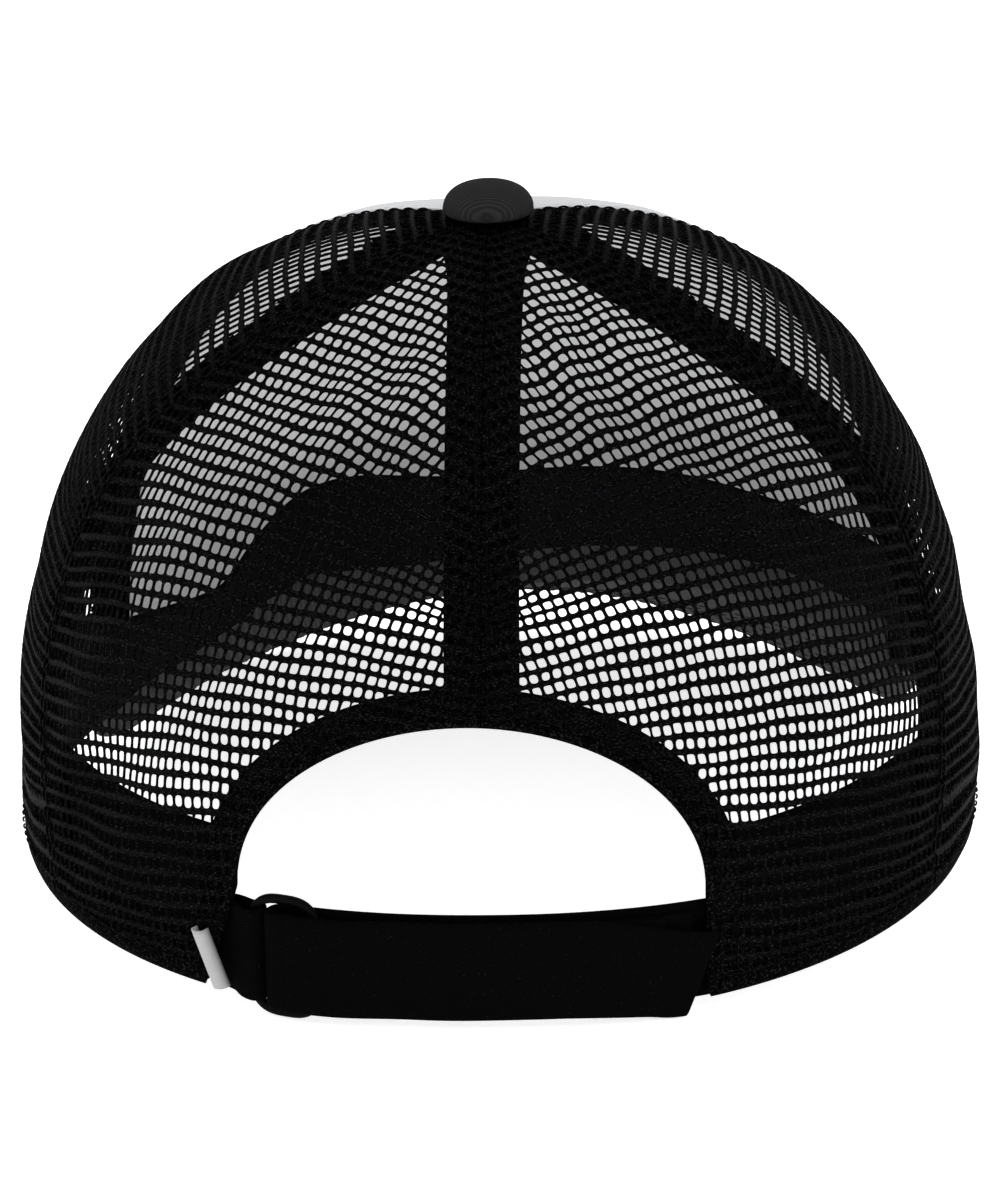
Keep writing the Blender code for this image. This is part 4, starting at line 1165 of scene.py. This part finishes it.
def brim_top(across, out):
    """Across runs -1 to 1 from the right temple to the left, out runs 0 to 1 to the edge."""
    across, out = np.broadcast_arrays(np.asarray(across, float), np.asarray(out, float))
    azimuth = 180.0 - BRIM_END_ANGLE * across
    foot = crown(azimuth, 0.0)
    tuck = np.linalg.norm((foot - crown(azimuth, RIM_SHARE))[..., :2], axis=-1)
    root = outline(azimuth, -(tuck + BRIM_INNER_OFFSET))
    beta = np.radians(90.0 * across)
    power = 2.0 / BRIM_PLAN_POWER
    edge_x = np.sign(across) * BRIM_HALF_WIDTH * np.abs(np.sin(beta)) ** power
    edge_y = BRIM_ROOT_Y - BRIM_REACH * np.clip(np.cos(beta), 0.0, None) ** power
    plan = root + (np.stack([edge_x, edge_y], axis=-1) - root) * out[..., None]
    lift = foot[..., 2] - BRIM_SEAT - brim_sheet(root[..., 0], root[..., 1])
    z = brim_sheet(plan[..., 0], plan[..., 1]) + lift * (1.0 - out)
    return np.concatenate([plan, z[..., None]], axis=-1)


def brim_frame(across, out):
    """The brim's upward normal and its outward way."""
    step = 0.01
    low, high = np.clip(out - step, 0.0, 1.0), np.clip(out + step, 0.0, 1.0)
    side = (brim_top(np.clip(across + step, -1.0, 1.0), out)
            - brim_top(np.clip(across - step, -1.0, 1.0), out))
    forward = brim_top(across, high) - brim_top(across, low)
    return unit(np.cross(forward, side)), unit(forward)


def brim_shell(across, out, depth):
    """Points this deep under the brim's upper face."""
    depth = np.asarray(depth, float)[..., None]
    return brim_top(across, out) - depth * brim_frame(across, out)[0]


def brim_spread(count):
    """Places across the brim, closer together towards its two ends."""
    return BRIM_END * np.sin(0.5 * np.pi * np.linspace(-1.0, 1.0, count))


def brim_cover(name, node, depth, way):
    """One cloth of the brim, its edge turned over the board to meet the other cloth."""
    across = brim_spread(121)
    grid_out, grid_across = np.meshgrid(np.linspace(0.0, 1.0, 34), across, indexing="ij")
    sheet = brim_shell(grid_across, grid_out, depth)
    climb = np.array([0.0085, 0.0060, 0.0035, 0.0012])[:, None, None]
    inward = -brim_frame(across, 0.0)[1] * [1.0, 1.0, 0.0]
    sewn = (brim_shell(across, 0.0, depth) + (0.0003 + 0.25 * depth) * unit(inward)
            + (climb + depth) * np.array([0.0, 0.0, 1.0]))
    turn = np.radians(np.linspace(15.0, 90.0, 6))[:, None, None]
    middle = 0.5 * BRIM_THICKNESS
    radius = abs(middle - depth)
    up, forward = brim_frame(across, 1.0)
    folded = (brim_top(across, 1.0) - (middle - way * radius * np.cos(turn)) * up
              + 0.45 * radius * np.sin(turn) * forward)
    grid = np.concatenate([sewn, sheet, folded])
    obj = grid_piece(name, grid, grid[..., :2], PAINTS["charcoal"], BRIM_CLOTH)
    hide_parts(node)
    return obj


def brim_end(side):
    """The cloth turned over one end of the board, from the crown out to the brim's edge."""
    out, depth = np.meshgrid(np.linspace(0.0, 1.0, 60), np.linspace(0.0, BRIM_THICKNESS, 7),
                             indexing="ij")
    way = 1.0 if side == "left" else -1.0
    bulge = BRIM_END_BULGE * np.sin(np.pi * depth / BRIM_THICKNESS)
    grid = brim_shell(way * (BRIM_END + bulge), out, depth)
    fold = grid_piece(f"brim_end_{side}", grid, grid[..., :2], PAINTS["charcoal"], 0.0005,
                      offset=0.0)
    return fold


def brim_row(distance, depth, facing):
    """A row of stitches this far in from the brim's edge."""
    across = brim_spread(1500)
    length = np.linalg.norm(brim_top(across, 1.0) - brim_top(across, 0.0), axis=-1)
    enough = length > distance + 0.002
    across, out = across[enough], 1.0 - distance / length[enough]
    return brim_shell(across, out, depth), facing * brim_frame(across, out)[0]


def build_brim():
    top = brim_cover("brim_top_cloth", "brim_top_cover", 0.0, 1.0)
    under = brim_cover("brim_under_cloth", "brim_under_cover", BRIM_THICKNESS - BRIM_CLOTH, -1.0)
    ends = [brim_end("left"), brim_end("right")]
    distances = [BRIM_STITCH_INSET + BRIM_STITCH_PITCH * k for k in range(BRIM_STITCH_ROWS)]
    rows = [brim_row(d, 0.0, 1.0) for d in distances]
    rows += [brim_row(d, BRIM_THICKNESS, -1.0) for d in distances]
    stitch_piece("brim_stitches", rows, PAINTS["grey_thread"])


# ---- button ----------------------------------------------------------------------------------
def build_button():
    quarter = np.radians(90.0 - 90.0 * np.linspace(0.0, 1.0, 22))
    radius = BUTTON_RADIUS * np.cos(quarter).clip(0.0) ** 0.8
    height = BUTTON_EDGE + (BUTTON_HEIGHT - BUTTON_EDGE) * np.sin(quarter) ** 0.9
    radius = np.concatenate([radius, [BUTTON_RADIUS - 0.0002, BUTTON_RADIUS - 0.0009]])
    height = np.concatenate([height, [0.0004, 0.0]])
    angle = np.radians(np.arange(0.0, 360.0, 3.0))
    gathers = 0.010 * np.cos(BUTTON_GATHERS * angle + 0.7 * np.sin(3.0 * angle))
    low = ease(-height, -0.0042, -0.0004)[:, None]
    reach = radius[:, None] * (1.0 + gathers[None, :] * low)
    x, y = reach * np.sin(angle), reach * np.cos(angle) + APEX_Y
    z = np.broadcast_to(height[:, None], x.shape) + CROWN_HEIGHT + BUTTON_LIFT
    grid = np.stack([x, y, z], axis=-1)[::-1]
    cover = grid_piece("button_cloth", grid, grid[..., :2], PAINTS["ribbed"], BUTTON_CLOTH,
                       wrap=True)
    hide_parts("button_cover")


# ---- closure ---------------------------------------------------------------------------------
def ribbon(name, path, low, high, material, thickness, body="cap"):
    """A band of webbing standing on edge along a path; low and high are its edges' heights."""
    share = np.linspace(0.0, 1.0, 9)[:, None]
    grid = np.repeat(path[None], len(share), axis=0)
    grid[..., 2] = low + share * (high - low)
    uvs = np.stack(np.broadcast_arrays(lengths_along(path)[None, :], grid[..., 2]), axis=-1)
    return grid_piece(name, grid, uvs, material, thickness, body, offset=0.0, rounds=1)


def tail_depth(arc):
    """How far out the tail stands: flat on the run, and out over the ring's bar near the fold."""
    rise = ease(arc, RING_CLEAR_ARC, RING_FLAT_ARC)
    return STRAP_OUTER_D + (STRAP_RING_D - STRAP_OUTER_D) * rise


def strap_run_path():
    """Along the inside from its anchor to the ring, round the bar, and back to the tail."""
    inside = np.linspace(STRAP_ANCHOR_ARC, FOLD_ARC, 90)
    middle = 0.5 * (STRAP_INNER_D + STRAP_RING_D)
    radius = 0.5 * (STRAP_RING_D - STRAP_INNER_D)
    turn = np.radians(np.linspace(-90.0, 90.0, 18))[1:]
    path = [back_curve(inside, STRAP_INNER_D),
            back_curve(FOLD_ARC + radius * np.cos(turn), middle + radius * np.sin(turn)),
            back_curve(np.array([0.0356, 0.0338]), np.array([-0.0002, -0.0007]) + STRAP_RING_D)]
    return np.concatenate(path)


def tail_grid():
    """The tail from its slanted, narrowed and drooping end back to just past the fold."""
    share, v = np.meshgrid(np.linspace(1.0, 0.0, 100), np.linspace(0.0, 1.0, 11), indexing="xy")
    drop = TAIL_DROP * ease(share, 0.62, 1.0)
    narrow = TAIL_NARROWING * ease(share, 0.70, 1.0)
    low, high = STRAP_BOTTOM - drop, STRAP_TOP - drop - narrow
    slant = TAIL_END_SLANT * (1.0 - v) * ease(share, 0.80, 1.0)
    start = TAIL_START_ARC + 0.0022
    arc = start + share * (TAIL_END_ARC - start) + slant
    grid = back_curve(arc, tail_depth(arc) + 0.00012 * np.sin(arc / 0.0042))
    grid[..., 2] = low + v * (high - low)
    return grid, np.stack([arc, grid[..., 2]], axis=-1)


def build_strap():
    path = strap_run_path()
    run = ribbon("strap_run_web", path, STRAP_BOTTOM, STRAP_TOP, PAINTS["web"], STRAP_THICKNESS)
    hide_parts("strap_run")
    grid, uvs = tail_grid()
    tail = grid_piece("strap_tail_web", grid, uvs, PAINTS["web"], STRAP_THICKNESS, None,
                      offset=0.0, rounds=1)
    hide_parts("strap_tail")
    start, end = (TO_WORLD @ Vector(back_curve(np.array([arc]), STRAP_RING_D, STRAP_MIDDLE_Z)[0])
                  for arc in (TAIL_START_ARC, TAIL_BEND_ARC))
    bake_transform(tail)


def build_piles():
    for name, node, arcs, depth, thickness, body in (
            ("loop_pile", "loop_tape", LOOP_TAPE_ARCS, LOOP_TAPE_D, PILE_THICKNESS, "cap"),
            ("hook_pile", "hook_tape", HOOK_TAPE_ARCS, HOOK_TAPE_D, 0.5 * PILE_THICKNESS, "tail")):
        path = back_curve(np.linspace(*arcs, 60), depth)
        pile = ribbon(name, path, PILE_BOTTOM, PILE_TOP, PAINTS["pile"], thickness, body)
        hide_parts(node)


def build_tab():
    """The tab, from inside the crown out round the ring's left bar and back in."""
    turn = np.radians(90.0 + 180.0 * np.linspace(0.0, 1.0, 20))
    bend = np.stack([TAB_TURN_ARC + TAB_TURN_RADIUS * np.cos(turn),
                     RING_LEFT_D + TAB_TURN_RADIUS * np.sin(turn)], axis=-1)
    way = np.concatenate([TAB_FRONT_WAY, bend, TAB_BACK_WAY])
    path = back_curve(way[:, 0], way[:, 1])[::-1].copy()
    tab = ribbon("ring_tab_web", path, TAB_BOTTOM, TAB_TOP, PAINTS["web"], TAB_THICKNESS)
    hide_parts("ring_tab")


def build_ring():
    left = back_curve(np.array([RING_LEFT_ARC]), RING_LEFT_D)[0]
    right = back_curve(np.array([RING_RIGHT_ARC]), RING_RIGHT_D)[0]
    centre, along = 0.5 * (left + right), unit(left - right)
    angle = np.linspace(0.0, 2.0 * np.pi, 161)[:-1]
    k = plan_radius_factor(np.sin(angle), np.cos(angle), RING_POWER)
    path = centre + along * (RING_HALF_WIDTH * np.cos(angle) * k)[:, None]
    path[:, 2] = RING_CENTRE_Z + RING_HALF_HEIGHT * np.sin(angle) * k
    obj = ring_bar("ring_plastic", path, unit(np.cross([0.0, 0.0, 1.0], along)))
    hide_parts("ring")


def ring_bar(name, path, across):
    """A closed moulded bar: a rounded square section, kept square to the ring's plane."""
    tangent = unit(np.roll(path, -1, axis=0) - np.roll(path, 1, axis=0))
    over = unit(np.cross(tangent, across))
    angle = np.linspace(0.0, 2.0 * np.pi, 21)[:-1]
    k = plan_radius_factor(np.sin(angle), np.cos(angle), 2.8)
    section = (RING_BAR * k)[:, None, None] * (np.cos(angle)[:, None, None] * across
                                               + np.sin(angle)[:, None, None] * over[None])
    grid = np.swapaxes(path[None] + section, 0, 1)
    faces = grid_faces(*grid.shape[:2], wrap=True, closed=True)[:, OTHER_WAY]
    points = grid.reshape(-1, 3)
    obj = piece(name, points, faces, points[:, [0, 2]], PAINTS["plastic"], "ring")
    face_outwards(obj)
    return obj


def build_tag():
    radius = TAG_HALF_WIDTH
    turn = np.radians(180.0 * np.linspace(0.0, 1.0, 13))
    arcs = np.concatenate([[TAG_ARC + radius], TAG_ARC + radius * np.cos(turn), [TAG_ARC - radius]])
    depths = np.concatenate([[0.0006], TAG_REACH - radius + radius * np.sin(turn), [0.0006]])
    height = np.linspace(0.0, TAG_LENGTH, 13)[:, None]
    lean = TAG_LEAN * (height - 0.5 * TAG_LENGTH)
    grid = back_curve(arcs[None] + lean, np.broadcast_to(depths, (13, len(depths))))
    grid[..., 2] = TAG_BOTTOM + height
    uvs = np.stack(np.broadcast_arrays(np.linspace(0.0, 0.006, len(arcs))[None], height), axis=-1)
    label = grid_piece("tag_ribbon", grid, uvs, PAINTS["label"], TAG_THICKNESS, offset=0.0)
    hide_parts("tag")


# ---- setting ---------------------------------------------------------------------------------
def place_camera():
    """Looks at the back of the cap, a little from above; angles are in the cap's own frame."""
    e, yaw, roll = (math.radians(a) for a in (CAMERA_ELEVATION, CAMERA_YAW, CAMERA_ROLL))
    away = Vector((-math.sin(yaw) * math.cos(e), math.cos(yaw) * math.cos(e), math.sin(e)))
    right = (-away).cross(Vector((0.0, 0.0, 1.0))).normalized()
    up = right.cross(-away)
    middle = Vector((0.0, 0.0, CAMERA_HEIGHT))
    place = middle + CAMERA_DISTANCE * away
    target = middle + CAMERA_SHIFT_RIGHT * right - CAMERA_SHIFT_DOWN * up
    back = (place - target).normalized()
    side = (right * math.cos(roll) - up * math.sin(roll))
    side = (side - back * side.dot(back)).normalized()
    turned = Matrix((side, back.cross(side), back)).transposed().to_4x4()
    data = bpy.data.cameras.new("camera")
    data.lens, data.sensor_width = CAMERA_LENS, 36.0
    data.clip_start, data.clip_end = 0.02, 30.0
    camera = bpy.data.objects.new("camera", data)
    camera.matrix_world = TO_WORLD @ Matrix.Translation(place) @ turned
    bpy.context.scene.collection.objects.link(camera)
    bpy.context.scene.camera = camera


def area_light(name, place, target, size, power):
    data = bpy.data.lights.new(name, "AREA")
    data.shape, data.size, data.energy = "DISK", size, power
    light = bpy.data.objects.new(name, data)
    way = Vector(target) - Vector(place)
    light.matrix_world = (Matrix.Translation(place)
                          @ way.to_track_quat("-Z", "Y").to_matrix().to_4x4())
    bpy.context.scene.collection.objects.link(light)


def light_studio():
    world = bpy.data.worlds.new("white_studio")
    world.use_nodes = True
    background = world.node_tree.nodes["Background"]
    background.inputs["Color"].default_value = (1.0, 1.0, 1.0, 1.0)
    background.inputs["Strength"].default_value = 1.0
    bpy.context.scene.world = world
    area_light("key", (-0.7, 1.5, 1.5), (0.0, 0.0, 0.05), 0.9, 2.6)
    area_light("fill", (1.3, 1.1, 0.9), (0.0, 0.0, 0.05), 1.2, 1.2)
    area_light("top", (0.0, -0.2, 1.7), (0.0, 0.0, 0.0), 1.3, 1.2)


def lay_floor():
    mesh = bpy.data.meshes.new("floor")
    corners = [(-1.0, -1.0), (1.0, -1.0), (1.0, 1.0), (-1.0, 1.0)]
    mesh.from_pydata([(FLOOR_REACH * x, FLOOR_REACH * y, 0.0) for x, y in corners],
                     [], [(0, 1, 2, 3)])
    floor = bpy.data.objects.new("floor", mesh)
    bpy.context.scene.collection.objects.link(floor)
    paint = Paint("pale_floor", (0.90, 0.90, 0.90), 0.9, specular=0.1)
    paint.tinted(paint.speckle(400.0, 2.0), 0.995, 1.0)
    paint.glows(FLOOR_GLOW)
    mesh.materials.append(paint.material)


def dress_cad_nodes():
    for node, paint in (("brim_board", "board"), ("button_shell", "metal"),
                        ("button_prong", "metal")):
        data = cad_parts[node].data
        data.materials.clear()
        data.materials.append(PAINTS[paint])


build_arch()
build_rim()
build_net_panels()
build_seams()
build_front()
build_seam_stitches()
build_sweatband()
build_brim()
build_button()
build_strap()
build_piles()
build_tab()
build_ring()
build_tag()
dress_cad_nodes()
place_camera()
light_studio()
lay_floor()
bpy.context.scene.view_settings.view_transform = "Standard"
